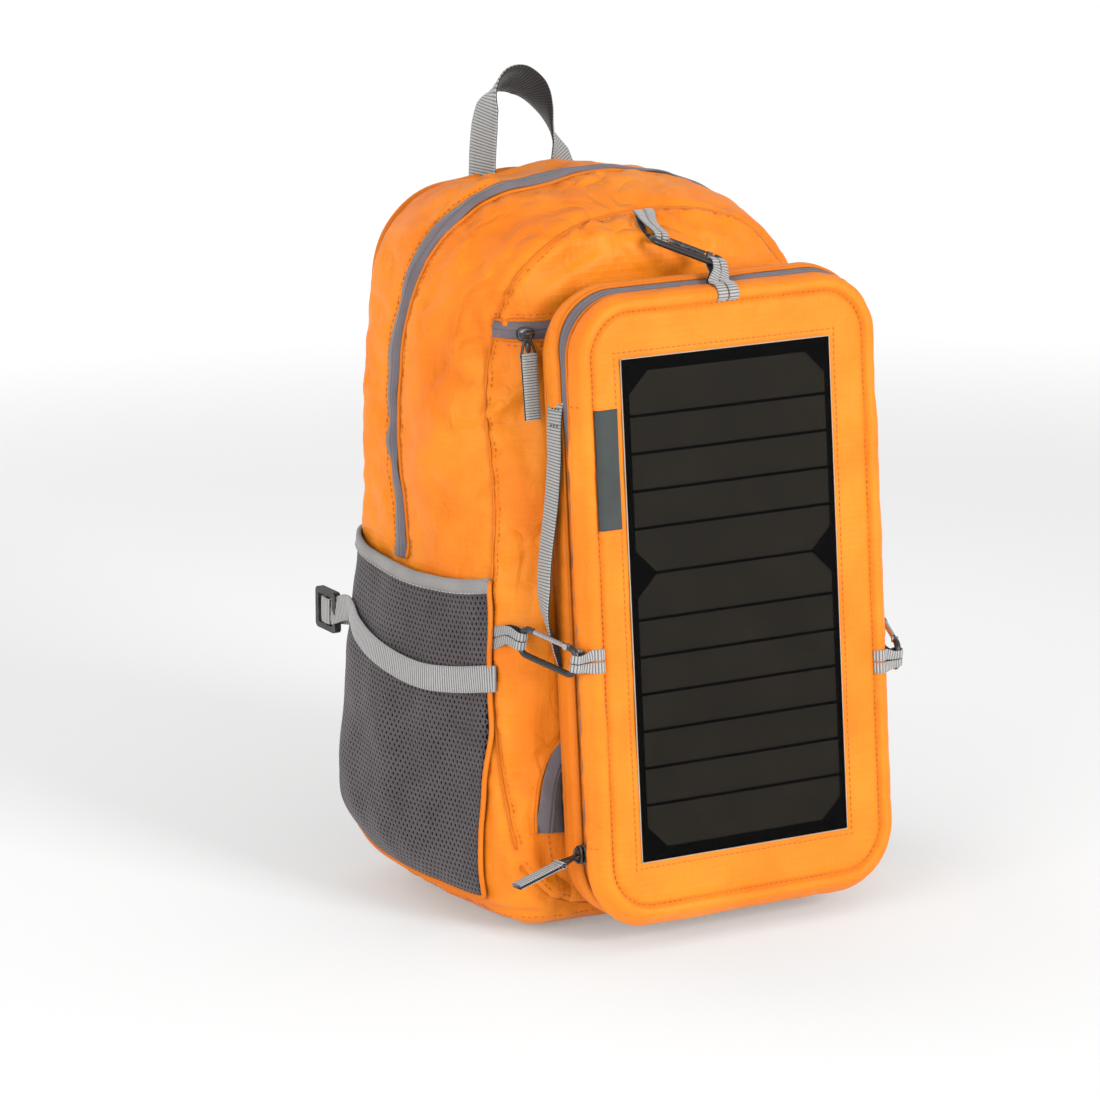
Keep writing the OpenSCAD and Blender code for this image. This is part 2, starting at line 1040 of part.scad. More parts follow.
module top_carabiner() {
    at_top_clip() carabiner();
}

module top_gate() {
    at_top_clip() gate();
}

module top_gate_pin() {
    at_top_clip() gate_pin();
}

module left_carabiner() {
    at_side_clip(-1) carabiner();
}

module left_gate() {
    at_side_clip(-1) gate();
}

module left_gate_pin() {
    at_side_clip(-1) gate_pin();
}

module right_carabiner() {
    at_side_clip(1) carabiner();
}

module right_gate() {
    at_side_clip(1) gate();
}

module right_gate_pin() {
    at_side_clip(1) gate_pin();
}

back_panel();
back_foam();
rear_shell();
front_shell();
bottom_panel();
main_zip();
main_zip_slider();
main_zip_pull();
front_pocket_zip();
front_pocket_slider();
front_pocket_pull();
lower_pocket_zip();
left_mesh_pocket();
right_mesh_pocket();
left_pocket_binding();
right_pocket_binding();
left_compression_strap();
right_compression_strap();
left_ladder_lock();
right_ladder_lock();
grab_handle();
left_shoulder_strap();
right_shoulder_strap();
left_strap_webbing();
right_strap_webbing();
left_strap_adjuster();
right_strap_adjuster();
top_pack_loop();
left_pack_loop();
right_pack_loop();
pouch_rear_shell();
pouch_front_shell();
pouch_zip();
pouch_zip_slider();
pouch_zip_pull();
pouch_handle();
pouch_top_loop();
pouch_left_loop();
pouch_right_loop();
solar_backsheet();
solar_cells();
solar_film();
label_patch();
controller_base();
controller_cover();
controller_board();
usb_socket();
panel_lead();
top_carabiner();
top_gate();
top_gate_pin();
left_carabiner();
left_gate();
left_gate_pin();
right_carabiner();
right_gate();
right_gate_pin();
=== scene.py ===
"""Solar backpack: the looks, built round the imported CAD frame. Shapes are worked out in millimetres."""
import json
import math

import bmesh
import bpy
import numpy as np
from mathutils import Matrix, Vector, kdtree, noise
from mathutils.bvhtree import BVHTree


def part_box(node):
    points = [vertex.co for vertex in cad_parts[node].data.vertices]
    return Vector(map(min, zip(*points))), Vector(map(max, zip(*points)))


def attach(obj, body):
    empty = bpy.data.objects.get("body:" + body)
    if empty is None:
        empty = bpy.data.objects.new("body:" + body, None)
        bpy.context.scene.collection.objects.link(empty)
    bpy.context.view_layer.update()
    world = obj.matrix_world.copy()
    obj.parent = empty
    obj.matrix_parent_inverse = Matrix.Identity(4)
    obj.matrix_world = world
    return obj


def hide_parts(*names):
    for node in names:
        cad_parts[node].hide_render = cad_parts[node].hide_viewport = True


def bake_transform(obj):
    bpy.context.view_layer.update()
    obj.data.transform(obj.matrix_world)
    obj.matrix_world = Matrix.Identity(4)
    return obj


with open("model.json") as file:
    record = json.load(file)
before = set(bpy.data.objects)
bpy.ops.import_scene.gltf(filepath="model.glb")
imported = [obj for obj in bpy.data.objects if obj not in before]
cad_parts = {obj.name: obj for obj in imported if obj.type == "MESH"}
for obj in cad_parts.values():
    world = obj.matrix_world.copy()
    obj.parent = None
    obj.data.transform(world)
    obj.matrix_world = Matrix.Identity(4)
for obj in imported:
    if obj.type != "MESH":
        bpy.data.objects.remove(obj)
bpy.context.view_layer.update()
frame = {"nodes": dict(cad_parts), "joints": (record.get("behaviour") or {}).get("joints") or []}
MM = 0.001
NODES = frame["nodes"]
JOINTS = {j["name"]: j for j in frame["joints"]}
TAU = 2 * math.pi
BACK = np.array([0, 1.0, 0])
SIDES = {-1: "left", 1: "right"}


# ---------- small maths ----------

def unit(v):
    v = np.asarray(v, float)
    return v / np.maximum(np.linalg.norm(v, axis=-1, keepdims=True), 1e-9)


def cad_box_mm(node):
    lo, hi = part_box(node)
    return np.array(lo) / MM, np.array(hi) / MM


def cad_points(*nodes):
    return np.vstack([[v.co[:] for v in NODES[n].data.vertices] for n in nodes]) / MM


def principal_frame(node):
    """Centre, axes (longest first) and extents of a CAD node."""
    pts = cad_points(node)
    centre = (pts.max(0) + pts.min(0)) / 2
    axes = np.linalg.svd(pts - pts.mean(0), full_matrices=False)[2]
    spread = (pts - centre) @ axes.T
    centre = centre + (spread.max(0) + spread.min(0)) / 2 @ axes
    return centre, axes, spread.max(0) - spread.min(0)


def curve(points, step, carry=None):
    """A smooth line through points, sampled about every step mm, with any carried values beside it."""
    p = np.asarray(points, float)
    p = np.vstack([2 * p[0] - p[1], p, 2 * p[-1] - p[-2]])
    out, at = [], []
    for i, (a, b, c, d) in enumerate(zip(p, p[1:], p[2:], p[3:])):
        n = max(2, int(np.linalg.norm(c - b) / step))
        for t in np.linspace(0, 1, n, endpoint=False):
            at.append(i + t)
            out.append(0.5 * (2 * b + (c - a) * t + (2 * a - 5 * b + 4 * c - d) * t ** 2
                              + (3 * b - a - 3 * c + d) * t ** 3))
    line = np.array(out + [p[-2]])
    if carry is None:
        return line
    carry = np.asarray(carry, float)
    at.append(len(carry) - 1)
    return line, np.stack([np.interp(at, range(len(carry)), k) for k in carry.T], 1)


def lengths(path):
    return np.concatenate([[0], np.cumsum(np.linalg.norm(np.diff(path, axis=0), axis=1))])


def resample(path, values, step):
    """values, given along path, at even steps; also the arc length of each."""
    s = lengths(path)
    at = np.linspace(0, s[-1], max(3, int(s[-1] / step) + 1))
    values = np.asarray(values, float)
    if values.ndim == 1:
        return np.interp(at, s, values), at
    return np.stack([np.interp(at, s, values[:, k]) for k in range(values.shape[1])], 1), at


def smooth_line(values, rounds, closed=False):
    v = np.array(values, float)
    for _ in range(rounds):
        if closed:
            v = (np.roll(v, 1, 0) + 2 * v + np.roll(v, -1, 0)) / 4
        else:
            v[1:-1] = (v[:-2] + 2 * v[1:-1] + v[2:]) / 4
    return v


def rise(x, a, b):
    t = np.clip((np.asarray(x, float) - a) / (b - a), 0, 1)
    return t * t * (3 - 2 * t)


# ---------- mesh building ----------

def grid_faces(rows, cols, closed=True):
    """Quads between rows of points. In a closed grid each row's last point joins its first."""
    return [(i * cols + k, i * cols + (k + 1) % cols, (i + 1) * cols + (k + 1) % cols, (i + 1) * cols + k)
            for i in range(rows - 1) for k in range(cols if closed else cols - 1)]


def end_faces(rows, cols):
    """The two ends of a tube made by grid_faces."""
    return [tuple(range(cols - 1, -1, -1)), tuple(range((rows - 1) * cols, rows * cols))]


def new_object(name, mesh):
    obj = bpy.data.objects.new(name, mesh)
    bpy.context.scene.collection.objects.link(obj)
    return obj


def make_piece(name, points, faces, materials, face_material=None, uv=None):
    mesh = bpy.data.meshes.new(name)
    mesh.from_pydata((np.asarray(points, float) * MM).tolist(), [], faces)
    for m in materials:
        mesh.materials.append(m)
    if face_material is not None:
        mesh.polygons.foreach_set("material_index", np.asarray(face_material, np.int32))
    if uv is not None:
        layer = mesh.uv_layers.new(name="along")
        index = np.zeros(len(mesh.loops), np.int32)
        mesh.loops.foreach_get("vertex_index", index)
        layer.data.foreach_set("uv", np.asarray(uv, np.float32)[index].ravel())
    mesh.polygons.foreach_set("use_smooth", np.full(len(mesh.polygons), True))
    return new_object(name, mesh)


def place(obj, body, slot, *nodes):
    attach(obj, body)
    if nodes:
        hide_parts(*nodes)
    return obj


def across_joint(obj):
    """Bakes obj's placement into its points."""
    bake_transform(obj)


def bake(obj):
    """Applies every modifier of obj."""
    bpy.context.view_layer.update()
    shape = obj.evaluated_get(bpy.context.evaluated_depsgraph_get())
    mesh = bpy.data.meshes.new_from_object(shape)
    obj.modifiers.clear()
    obj.data = mesh
    mesh.polygons.foreach_set("use_smooth", np.full(len(mesh.polygons), True))


def get_points(obj):
    co = np.zeros(len(obj.data.vertices) * 3)
    obj.data.vertices.foreach_get("co", co)
    return co.reshape(-1, 3) / MM


def set_points(obj, points):
    obj.data.vertices.foreach_set("co", (np.asarray(points) * MM).ravel())
    obj.data.update()


def get_normals(obj):
    n = np.zeros(len(obj.data.vertices) * 3)
    obj.data.vertices.foreach_get("normal", n)
    return n.reshape(-1, 3)


def hull_piece(name, points, material):
    mesh = bpy.data.meshes.new(name)
    form = bmesh.new()
    for p in points * MM:
        form.verts.new(p)
    hull = bmesh.ops.convex_hull(form, input=form.verts)
    loose = [g for g in hull["geom_interior"] + hull["geom_unused"] if isinstance(g, bmesh.types.BMVert)]
    bmesh.ops.delete(form, geom=list(set(loose)), context="VERTS")
    form.to_mesh(mesh)
    form.free()
    mesh.materials.append(material)
    return new_object(name, mesh)


def remesh(obj, voxel):
    mod = obj.modifiers.new("voxels", "REMESH")
    mod.mode = "VOXEL"
    mod.voxel_size = voxel * MM
    bake(obj)


def relax(obj, rounds):
    mod = obj.modifiers.new("relax", "SMOOTH")
    mod.factor = 0.5
    mod.iterations = rounds
    bake(obj)


def thicken(obj, thickness, offset):
    mod = obj.modifiers.new("thickness", "SOLIDIFY")
    mod.thickness = thickness * MM
    mod.offset = offset
    bake(obj)


def subdivide(obj):
    mod = obj.modifiers.new("finer", "SUBSURF")
    mod.levels = 1
    bake(obj)


def puff(obj, pins, cap, pressure, growth, frames=18):
    """Cloth simulation: the fabric swells and its spare length buckles between pinned seams."""
    before = get_points(obj)
    group = obj.vertex_groups.new(name="sewn")
    for level in np.unique(np.round(pins, 1)):
        if level > 0:
            which = np.nonzero(np.round(pins, 1) == level)[0].tolist()
            group.add(which, float(level), "REPLACE")
    mod = obj.modifiers.new("Cloth", "CLOTH")
    s = mod.settings
    s.quality = 5
    s.mass = 0.15
    s.tension_stiffness = 12
    s.compression_stiffness = 12
    s.shear_stiffness = 4
    s.bending_stiffness = 0.4
    s.use_pressure = True
    s.uniform_pressure_force = pressure
    s.shrink_min = -growth
    s.vertex_group_mass = "sewn"
    s.effector_weights.gravity = 0
    mod.point_cache.frame_start = 1
    mod.point_cache.frame_end = frames
    scene = bpy.context.scene
    for f in range(1, frames + 1):
        scene.frame_set(f)
    bake(obj)
    scene.frame_set(1)
    obj.vertex_groups.clear()
    move = get_points(obj) - before
    size = np.linalg.norm(move, axis=1, keepdims=True)
    cap = np.asarray(cap, float).reshape(-1, 1)
    set_points(obj, before + move / np.maximum(size, 1e-9) * cap * np.tanh(size / np.maximum(cap, 1e-6)))


def tree_of(obj):
    return BVHTree.FromObject(obj, bpy.context.evaluated_depsgraph_get())


def shoot(tree, origins, directions):
    """Points and normals where rays meet a surface, in mm."""
    origins, directions = np.broadcast_arrays(origins, np.asarray(directions, float))
    places, normals = [], []
    for o, d in zip(origins, directions):
        hit, normal, _, _ = tree.ray_cast(Vector(o * MM), Vector(d))
        if hit is None:
            hit, normal, _, _ = tree.find_nearest(Vector((o + d * 400) * MM))
        places.append(np.array(hit) / MM)
        normals.append(np.array(normal))
    return np.array(places), np.array(normals)


def seam_distance(points, path):
    """Distance of each point from a line, and how far along the line its nearest place is."""
    fine, s = resample(path, path, 1.5)
    kd = kdtree.KDTree(len(fine))
    for i, p in enumerate(fine):
        kd.insert(p, i)
    kd.balance()
    found = [kd.find(p) for p in points]
    return np.array([f[2] for f in found]), s[np.array([f[1] for f in found])]


def noise_at(points, scale, seed, stretch=(1, 1, 1)):
    q = points / scale * np.asarray(stretch) + seed
    return np.array([noise.noise(Vector(p)) for p in q])


def crumple(points, normals, amount, scale, seed, stretch=(1, 1, 1)):
    """Soft folds: sharp creases between rounded swells."""
    broad = noise_at(points, scale, seed, stretch)
    fine = noise_at(points, scale * 0.45, seed + 31.7, stretch)
    fold = (1 - np.abs(broad) * 2.2).clip(0, 1) ** 3 * -0.8 + broad + 0.35 * fine
    return points + normals * (fold * np.asarray(amount))[:, None]


def crease(points, normals, amount, scale, seed, stretch):
    """A few long sharp folds that fade in and out."""
    warp = noise_at(points, scale * 1.6, seed + 7.7)
    line = np.abs(noise_at(points + (warp * scale * 0.5)[:, None], scale, seed, stretch))
    here = rise(noise_at(points, scale * 0.9, seed + 51.0), -0.05, 0.35)
    fold = np.exp(-(line / 0.045) ** 2) - 0.6 * np.exp(-((line - 0.12) / 0.07) ** 2)
    return points + normals * (fold * here * np.asarray(amount))[:, None]


def sew(points, normals, seams):
    """Sinks the surface along each seam and puckers it beside the seam."""
    shift = np.zeros(len(points))
    for k, (path, depth, width, pucker) in enumerate(seams):
        near, along = seam_distance(points, path)
        groove = np.exp(-(near / width) ** 2)
        side = np.exp(-((near - width * 2.2) / (width * 1.8)) ** 2)
        ripple = np.array([noise.noise(Vector((a / 7.0, k * 9.1, n / 24.0))) for a, n in zip(along, near)])
        shift += -depth * groove + pucker * side * (0.5 + 1.6 * ripple)
    return points + normals * shift[:, None]


# ---------- bands, tubes, stitches ----------

def along_frame(points, outward):
    """Directions along a line, across it and out of it, near the given outward ones."""
    along = unit(np.gradient(points, axis=0))
    side = unit(np.cross(along, unit(outward)))
    return along, side, np.cross(side, along)


def band(name, path, outward, section, materials, pitch, step=0.5, widen=None):
    """A woven band along path. Section rows are (across, height, rib, material), round the cut."""
    pts, s = resample(path, path, step)
    _, side, out = along_frame(pts, resample(path, np.broadcast_to(outward, np.shape(path)), step)[0])
    wave = np.cos(TAU * s / pitch)
    wide = np.ones(len(s)) if widen is None else resample(path, widen, step)[0]
    count = len(section)
    rows, uv = [], []
    for across, height, rib, _ in section:
        offset = height + rib * wave
        rows.append(pts + side * (across * wide)[:, None] + out * offset[:, None])
        uv.append(np.stack([s / pitch, np.full(len(s), across)], 1))
    points = np.stack(rows, 1).reshape(-1, 3)
    uv = np.stack(uv, 1).reshape(-1, 2)
    mats = [row[3] for row in section] * (len(s) - 1) + [section[-1][3]] * 2
    return make_piece(name, points, grid_faces(len(s), count) + end_faces(len(s), count), materials, mats, uv)


def woven(width, thick=1.4, rib=0.13):
    """The cut through a webbing: a ribbed face in material 0, bound edges and a back in material 1."""
    w, t = width / 2, thick / 2
    face = [(-w, 0, 0, 0), (-w * 0.96, t * 0.85, rib * 0.6, 0), (-w * 0.5, t, rib, 0), (0, t * 1.03, rib, 0),
            (w * 0.5, t, rib, 0), (w * 0.96, t * 0.85, rib * 0.6, 0)]
    back = [(w, 0, 0, 1), (w * 0.96, -t * 0.85, 0, 1), (w * 0.5, -t, -rib, 1), (0, -t, -rib, 1),
            (-w * 0.5, -t, -rib, 1), (-w * 0.96, -t * 0.85, 0, 1)]
    return face + back


def zip_cut(width):
    """The cut through a closed zip: two tapes and a ribbed coil with a line down its middle."""
    w = width / 2
    top = [(-w, 0, 0), (-w, 0.6, 0), (-2.3, 0.7, 0), (-1.9, 1.25, 0.16), (-0.45, 1.4, 0.2), (0, 0.75, 0),
           (0.45, 1.4, -0.2), (1.9, 1.25, -0.16), (2.3, 0.7, 0), (w, 0.6, 0), (w, 0, 0)]
    return [(a, h, r, 0) for a, h, r in top] + [(w * 0.5, -0.4, 0, 0), (-w * 0.5, -0.4, 0, 0)]


def tube_parts(path, radius, sides, closed):
    """Points and faces of a round tube along path."""
    pts = np.asarray(path, float)
    along = unit(np.roll(pts, -1, 0) - np.roll(pts, 1, 0)) if closed else unit(np.gradient(pts, axis=0))
    side = np.zeros_like(pts)
    ref = np.array([0.13, 0.31, 0.94])
    for i, t in enumerate(along):
        ref = unit(ref - t * (ref @ t))
        side[i] = ref
    up = np.cross(along, side)
    rows = [pts + (side * math.cos(TAU * k / sides) + up * math.sin(TAU * k / sides)) * radius
            for k in range(sides)]
    points = np.stack(rows, 1).reshape(-1, 3)
    faces = grid_faces(len(pts) + closed, sides) + ([] if closed else end_faces(len(pts), sides))
    return points, [tuple(v % len(points) for v in reversed(f)) for f in faces]


class Heap:
    """Collects small parts into one mesh."""

    def __init__(self):
        self.points, self.faces, self.count = [], [], 0

    def add(self, points, faces):
        self.points.append(np.asarray(points, float))
        self.faces += [tuple(v + self.count for v in f) for f in faces]
        self.count += len(points)

    def tube(self, path, radius, sides=10, closed=False):
        self.add(*tube_parts(path, radius, sides, closed))

    def stitches(self, path, normals, pitch=3.6, length=2.3, radius=0.32, lift=0.1):
        pts, _ = resample(path, path, pitch)
        frames = along_frame(pts, resample(path, np.broadcast_to(normals, np.shape(path)), pitch)[0])
        for p, t, b, n in zip(pts[:-1], *frames):
            ring = []
            for at, r in ((-0.5, 0.35), (-0.3, 0.9), (0, 1.0), (0.3, 0.9), (0.5, 0.35)):
                for k in range(6):
                    a = TAU * k / 6
                    ring.append(p + t * at * length + n * (lift + r * radius * math.sin(a))
                                + b * r * radius * 1.25 * math.cos(a))
            self.add(ring, grid_faces(5, 6) + end_faces(5, 6))

    def make(self, name, material, body, slot, *nodes):
        return place(make_piece(name, np.vstack(self.points), self.faces, [material]), body, slot, *nodes)


# ---------- materials ----------

class Shader:
    """A node material, written as expressions."""

    def __init__(self, name, **settings):
        self.mat = bpy.data.materials.new(name)
        self.mat.use_nodes = True
        self.tree = self.mat.node_tree
        self.bsdf = self.tree.nodes["Principled BSDF"]
        coord = self.add("ShaderNodeTexCoord")
        self.place = coord.outputs["Object"]
        self.normal = coord.outputs["Normal"]
        self.uv = coord.outputs["UV"]
        self.set(**settings)

    def add(self, kind, *values, **settings):
        node = self.tree.nodes.new(kind)
        for key, value in settings.items():
            setattr(node, key, value)
        for socket, value in zip(node.inputs, values):
            self.feed(socket, value)
        return node

    def feed(self, socket, value):
        if isinstance(value, bpy.types.NodeSocket):
            self.tree.links.new(value, socket)
        elif value is not None:
            socket.default_value = value

    def set(self, **settings):
        for key, value in settings.items():
            self.feed(self.bsdf.inputs[key.replace("_", " ")], value)

    def m(self, op, *values):
        return self.add("ShaderNodeMath", *values, operation=op).outputs[0]

    def plus(self, a, b, k=1.0):
        """a + b * k"""
        return self.m("MULTIPLY_ADD", b, k, a)

    def times(self, a, b):
        return self.m("MULTIPLY", a, b)

    def v(self, op, *values):
        node = self.add("ShaderNodeVectorMath", *values, operation=op)
        return node.outputs["Value" if op == "DOT_PRODUCT" else "Vector"]

    def scaled(self, k):
        return self.v("MULTIPLY", self.place, (k, k, k))

    def noise(self, scale, detail=2.0, rough=0.5, at=None):
        node = self.add("ShaderNodeTexNoise")
        self.feed(node.inputs["Vector"], at or self.place)
        self.feed(node.inputs["Scale"], scale)
        self.feed(node.inputs["Detail"], detail)
        self.feed(node.inputs["Roughness"], rough)
        return node.outputs["Fac"]

    def ramp(self, value, low, high, a=0.0, b=1.0):
        node = self.add("ShaderNodeMapRange", value, low, high, a, b)
        node.interpolation_type = "SMOOTHSTEP"
        return node.outputs["Result"]

    def mix(self, share, a, b):
        node = self.add("ShaderNodeMix", data_type="RGBA")
        self.feed(node.inputs[0], share)
        self.feed(node.inputs[6], (*a, 1) if isinstance(a, tuple) else a)
        self.feed(node.inputs[7], (*b, 1) if isinstance(b, tuple) else b)
        return node.outputs[2]

    def edges(self, low, high):
        point = self.add("ShaderNodeNewGeometry").outputs["Pointiness"]
        return self.ramp(point, low, high)

    def bump(self, height, strength, distance):
        node = self.add("ShaderNodeBump")
        self.feed(node.inputs["Strength"], strength)
        self.feed(node.inputs["Distance"], distance)
        self.feed(node.inputs["Height"], height)
        self.set(Normal=node.outputs["Normal"])


def weave_height(s, thread):
    """A plain weave that lies in whichever plane the surface faces."""
    k = math.pi / thread
    wave = s.v("SINE", s.scaled(k))
    parts = s.add("ShaderNodeSeparateXYZ", wave).outputs
    pairs = s.add("ShaderNodeCombineXYZ", s.times(parts[1], parts[2]),
                  s.times(parts[2], parts[0]), s.times(parts[0], parts[1])).outputs[0]
    return s.v("DOT_PRODUCT", pairs, s.v("ABSOLUTE", s.normal))


def ripstop_lines(s, spacing):
    """Thin lines of the reinforcing grid, in whichever plane the surface faces."""
    wave = s.v("ABSOLUTE", s.v("COSINE", s.scaled(math.pi / spacing)))
    for _ in range(4):
        wave = s.v("MULTIPLY", wave, wave)
    facing = s.v("SUBTRACT", (1, 1, 1), s.v("ABSOLUTE", s.normal))
    return s.v("DOT_PRODUCT", wave, facing)


def ripstop(name, color, deep, rough=0.5, loose=False):
    """Coated ripstop cloth, its glow on its neighbours toned down, with painted shade darkening its creases;
    loose cloth has sharp little folds and stronger broad colour patches, partly random tone and partly
    painted light and shade.
    """
    s = Shader(name, Sheen_Weight=0.03, Sheen_Roughness=0.4, Specular_IOR_Level=0.22)
    lines = ripstop_lines(s, 0.0036)
    broad = s.noise(16, 3, 0.6)
    grain = s.noise(900, 2, 0.6)
    # Broad patches between color and deep: random tone on all cloth; on loose cloth the narrower ramp
    # strengthens them into painted light and shade, standing in part for light falling across its folds.
    shade = s.mix(s.ramp(broad, *((0.35, 0.68) if loose else (0.3, 0.75))), color, deep)
    # Painted shade: hollow places (low pointiness) are darkened towards a deeper orange, as shade in creases.
    crease = s.mix(s.times(s.edges(0.5, 0.42), 0.55), shade, tuple(c * 0.72 for c in deep))
    lit = s.mix(s.times(lines, 0.10), crease, tuple(min(1, c * 1.2 + 0.02) for c in color))
    base = s.mix(s.times(grain, 0.12), lit, deep)
    bounce = s.times(s.add("ShaderNodeLightPath").outputs["Is Diffuse Ray"], 0.85)
    s.set(Base_Color=s.mix(bounce, base, (0.36, 0.27, 0.20)))
    s.set(Roughness=s.ramp(broad, 0.25, 0.8, rough - 0.08, rough + 0.14))
    height = s.plus(s.times(weave_height(s, 0.00075), 0.35), lines, 0.8)
    height = s.plus(height, s.noise(240, 3, 0.6), 0.9)
    crinkle = s.m("ABSOLUTE", s.m("SUBTRACT", s.noise(48, 2, 0.45), 0.5))
    height = s.plus(height, s.ramp(crinkle, 0.0, 0.07), 1.6)
    if loose:
        slant = s.v("MULTIPLY", s.place, (1.0, 1.0, 0.6))
        for scale, deep_by in ((17, 22.0), (34, 13.0)):
            ridge = s.m("ABSOLUTE", s.m("SUBTRACT", s.noise(scale, 1.5, 0.4, slant), 0.5))
            fold = s.m("MINIMUM", s.m("DIVIDE", ridge, 0.055), 1.0)
            where = s.ramp(s.noise(scale * 0.5, 1, 0.4), 0.42, 0.62, 0.1, deep_by)
            height = s.plus(height, fold, where)
    s.bump(height, 0.42, 0.00026)
    return s.mat


def webbing_face(name, color, gap, pitch_dark=0.75):
    """Ribbed polyester webbing. The UV's first part counts ribs, the second is mm across."""
    s = Shader(name, Sheen_Weight=0.3, Sheen_Roughness=0.5, Specular_IOR_Level=0.3)
    parts = s.add("ShaderNodeSeparateXYZ", s.uv).outputs
    rib = s.m("ABSOLUTE", s.m("SINE", s.times(parts[0], math.pi)))
    valley = s.ramp(rib, 0.62, 0.96)
    twist = s.noise(1500, 2, 0.7)
    strands = s.m("ABSOLUTE", s.m("SINE", s.times(parts[1], math.pi / 0.8)))
    tone = s.mix(s.ramp(twist, 0.3, 0.75), tuple(c * 0.8 for c in color), color)
    s.set(Base_Color=s.mix(s.times(valley, pitch_dark), tone, gap), Roughness=0.72)
    height = s.plus(s.plus(twist, strands, 0.3), rib, -0.7)
    s.bump(height, 0.5, 0.0002)
    return s.mat


def plain_cloth(name, color, deep, thread, rough=0.75, bump=0.45):
    s = Shader(name, Sheen_Weight=0.25, Sheen_Roughness=0.5, Specular_IOR_Level=0.25)
    broad = s.noise(40, 3, 0.6)
    weave = weave_height(s, thread)
    tone = s.mix(s.ramp(broad, 0.3, 0.7), color, deep)
    s.set(Base_Color=s.mix(s.ramp(weave, -0.2, 0.7, 0.25, 0.0), tone, tuple(c * 0.55 for c in deep)))
    s.set(Roughness=s.ramp(broad, 0.2, 0.8, rough - 0.07, rough + 0.1))
    s.bump(s.plus(weave, s.noise(1300, 2, 0.6), 0.6), bump, 0.00018)
    return s.mat


def moulded(name, color, rough, worn, coat=0.0):
    """Moulded plastic or painted metal, rubbed lighter on its edges."""
    s = Shader(name, Specular_IOR_Level=0.5, Coat_Weight=coat, Coat_Roughness=0.2)
    scuff = s.noise(180, 5, 0.7)
    fine = s.noise(2600, 2, 0.5)
    edge = s.times(s.edges(0.52, 0.62), s.ramp(scuff, 0.35, 0.65))
    s.set(Base_Color=s.mix(s.times(edge, 0.6), color, worn))
    s.set(Roughness=s.ramp(scuff, 0.25, 0.75, rough - 0.08, rough + 0.12))
    s.bump(s.plus(fine, scuff), 0.12, 0.0001)
    return s.mat


def bare_metal(name, color, rough):
    s = Shader(name, Metallic=1.0)
    brushed = s.noise(700, 3, 0.6, s.v("MULTIPLY", s.place, (1, 1, 6)))
    s.set(Base_Color=s.mix(brushed, tuple(c * 0.82 for c in color), color))
    s.set(Roughness=s.ramp(brushed, 0.3, 0.7, rough - 0.06, rough + 0.1))
    s.bump(brushed, 0.15, 0.00006)
    return s.mat


def cell_face(name):
    s = Shader(name, Specular_IOR_Level=0.08)
    broad = s.noise(28, 3, 0.55)
    parts = s.add("ShaderNodeSeparateXYZ", s.place).outputs
    finger = s.m("ABSOLUTE", s.m("SINE", s.times(parts[0], math.pi / 0.0016)))
    finger = s.ramp(finger, 0.0, 0.16, 1.0, 0.0)
    tone = s.mix(s.ramp(broad, 0.3, 0.7), (0.0138, 0.0110, 0.0072), (0.0110, 0.0090, 0.0062))
    s.set(Base_Color=s.mix(s.times(finger, 0.07), tone, (0.10, 0.09, 0.08)))
    s.set(Roughness=s.ramp(broad, 0.2, 0.8, 0.42, 0.52))
    s.bump(s.noise(700, 2, 0.5), 0.06, 0.0001)
    return s.mat


def clear_film(name):
    s = Shader(name, Roughness=0.3, Alpha=0.03, Base_Color=(0.01, 0.01, 0.01, 1), Specular_IOR_Level=0.3)
    s.bump(s.noise(500, 2, 0.5), 0.1, 0.0001)
    return s.mat


def sheet_black(name):
    s = Shader(name, Specular_IOR_Level=0.02)
    grain = s.noise(1500, 3, 0.6)
    s.set(Base_Color=s.mix(grain, (0.0005, 0.0005, 0.0005), (0.0015, 0.0015, 0.0015)))
    s.set(Roughness=s.ramp(s.noise(30, 3), 0.3, 0.7, 0.5, 0.62))
    s.bump(grain, 0.2, 0.0001)
    return s.mat


def circuit_green(name):
    s = Shader(name, Specular_IOR_Level=0.5)
    trace = s.noise(260, 1, 0.2)
    tone = s.mix(s.ramp(trace, 0.49, 0.52), (0.01, 0.09, 0.03), (0.03, 0.2, 0.08))
    s.set(Base_Color=tone, Roughness=0.35)
    s.bump(trace, 0.2, 0.0001)
    return s.mat


ORANGE = ripstop("orange_ripstop", (0.95, 0.268, 0.013), (0.90, 0.205, 0.008))
LOOSE = ripstop("orange_loose", (0.95, 0.275, 0.013), (0.90, 0.205, 0.007), 0.46, True)
WELT = ripstop("orange_welt", (0.93, 0.255, 0.013), (0.84, 0.19, 0.008), 0.55)
THREAD = plain_cloth("orange_thread", (0.78, 0.20, 0.014), (0.66, 0.15, 0.01), 0.0003)
PALE_THREAD = plain_cloth("pale_thread", (0.62, 0.6, 0.58), (0.5, 0.48, 0.47), 0.0003)
TAPE = plain_cloth("zip_tape", (0.215, 0.184, 0.20), (0.172, 0.147, 0.162), 0.0006)
NET = plain_cloth("net_yarn", (0.108, 0.090, 0.095), (0.080, 0.067, 0.071), 0.0005)
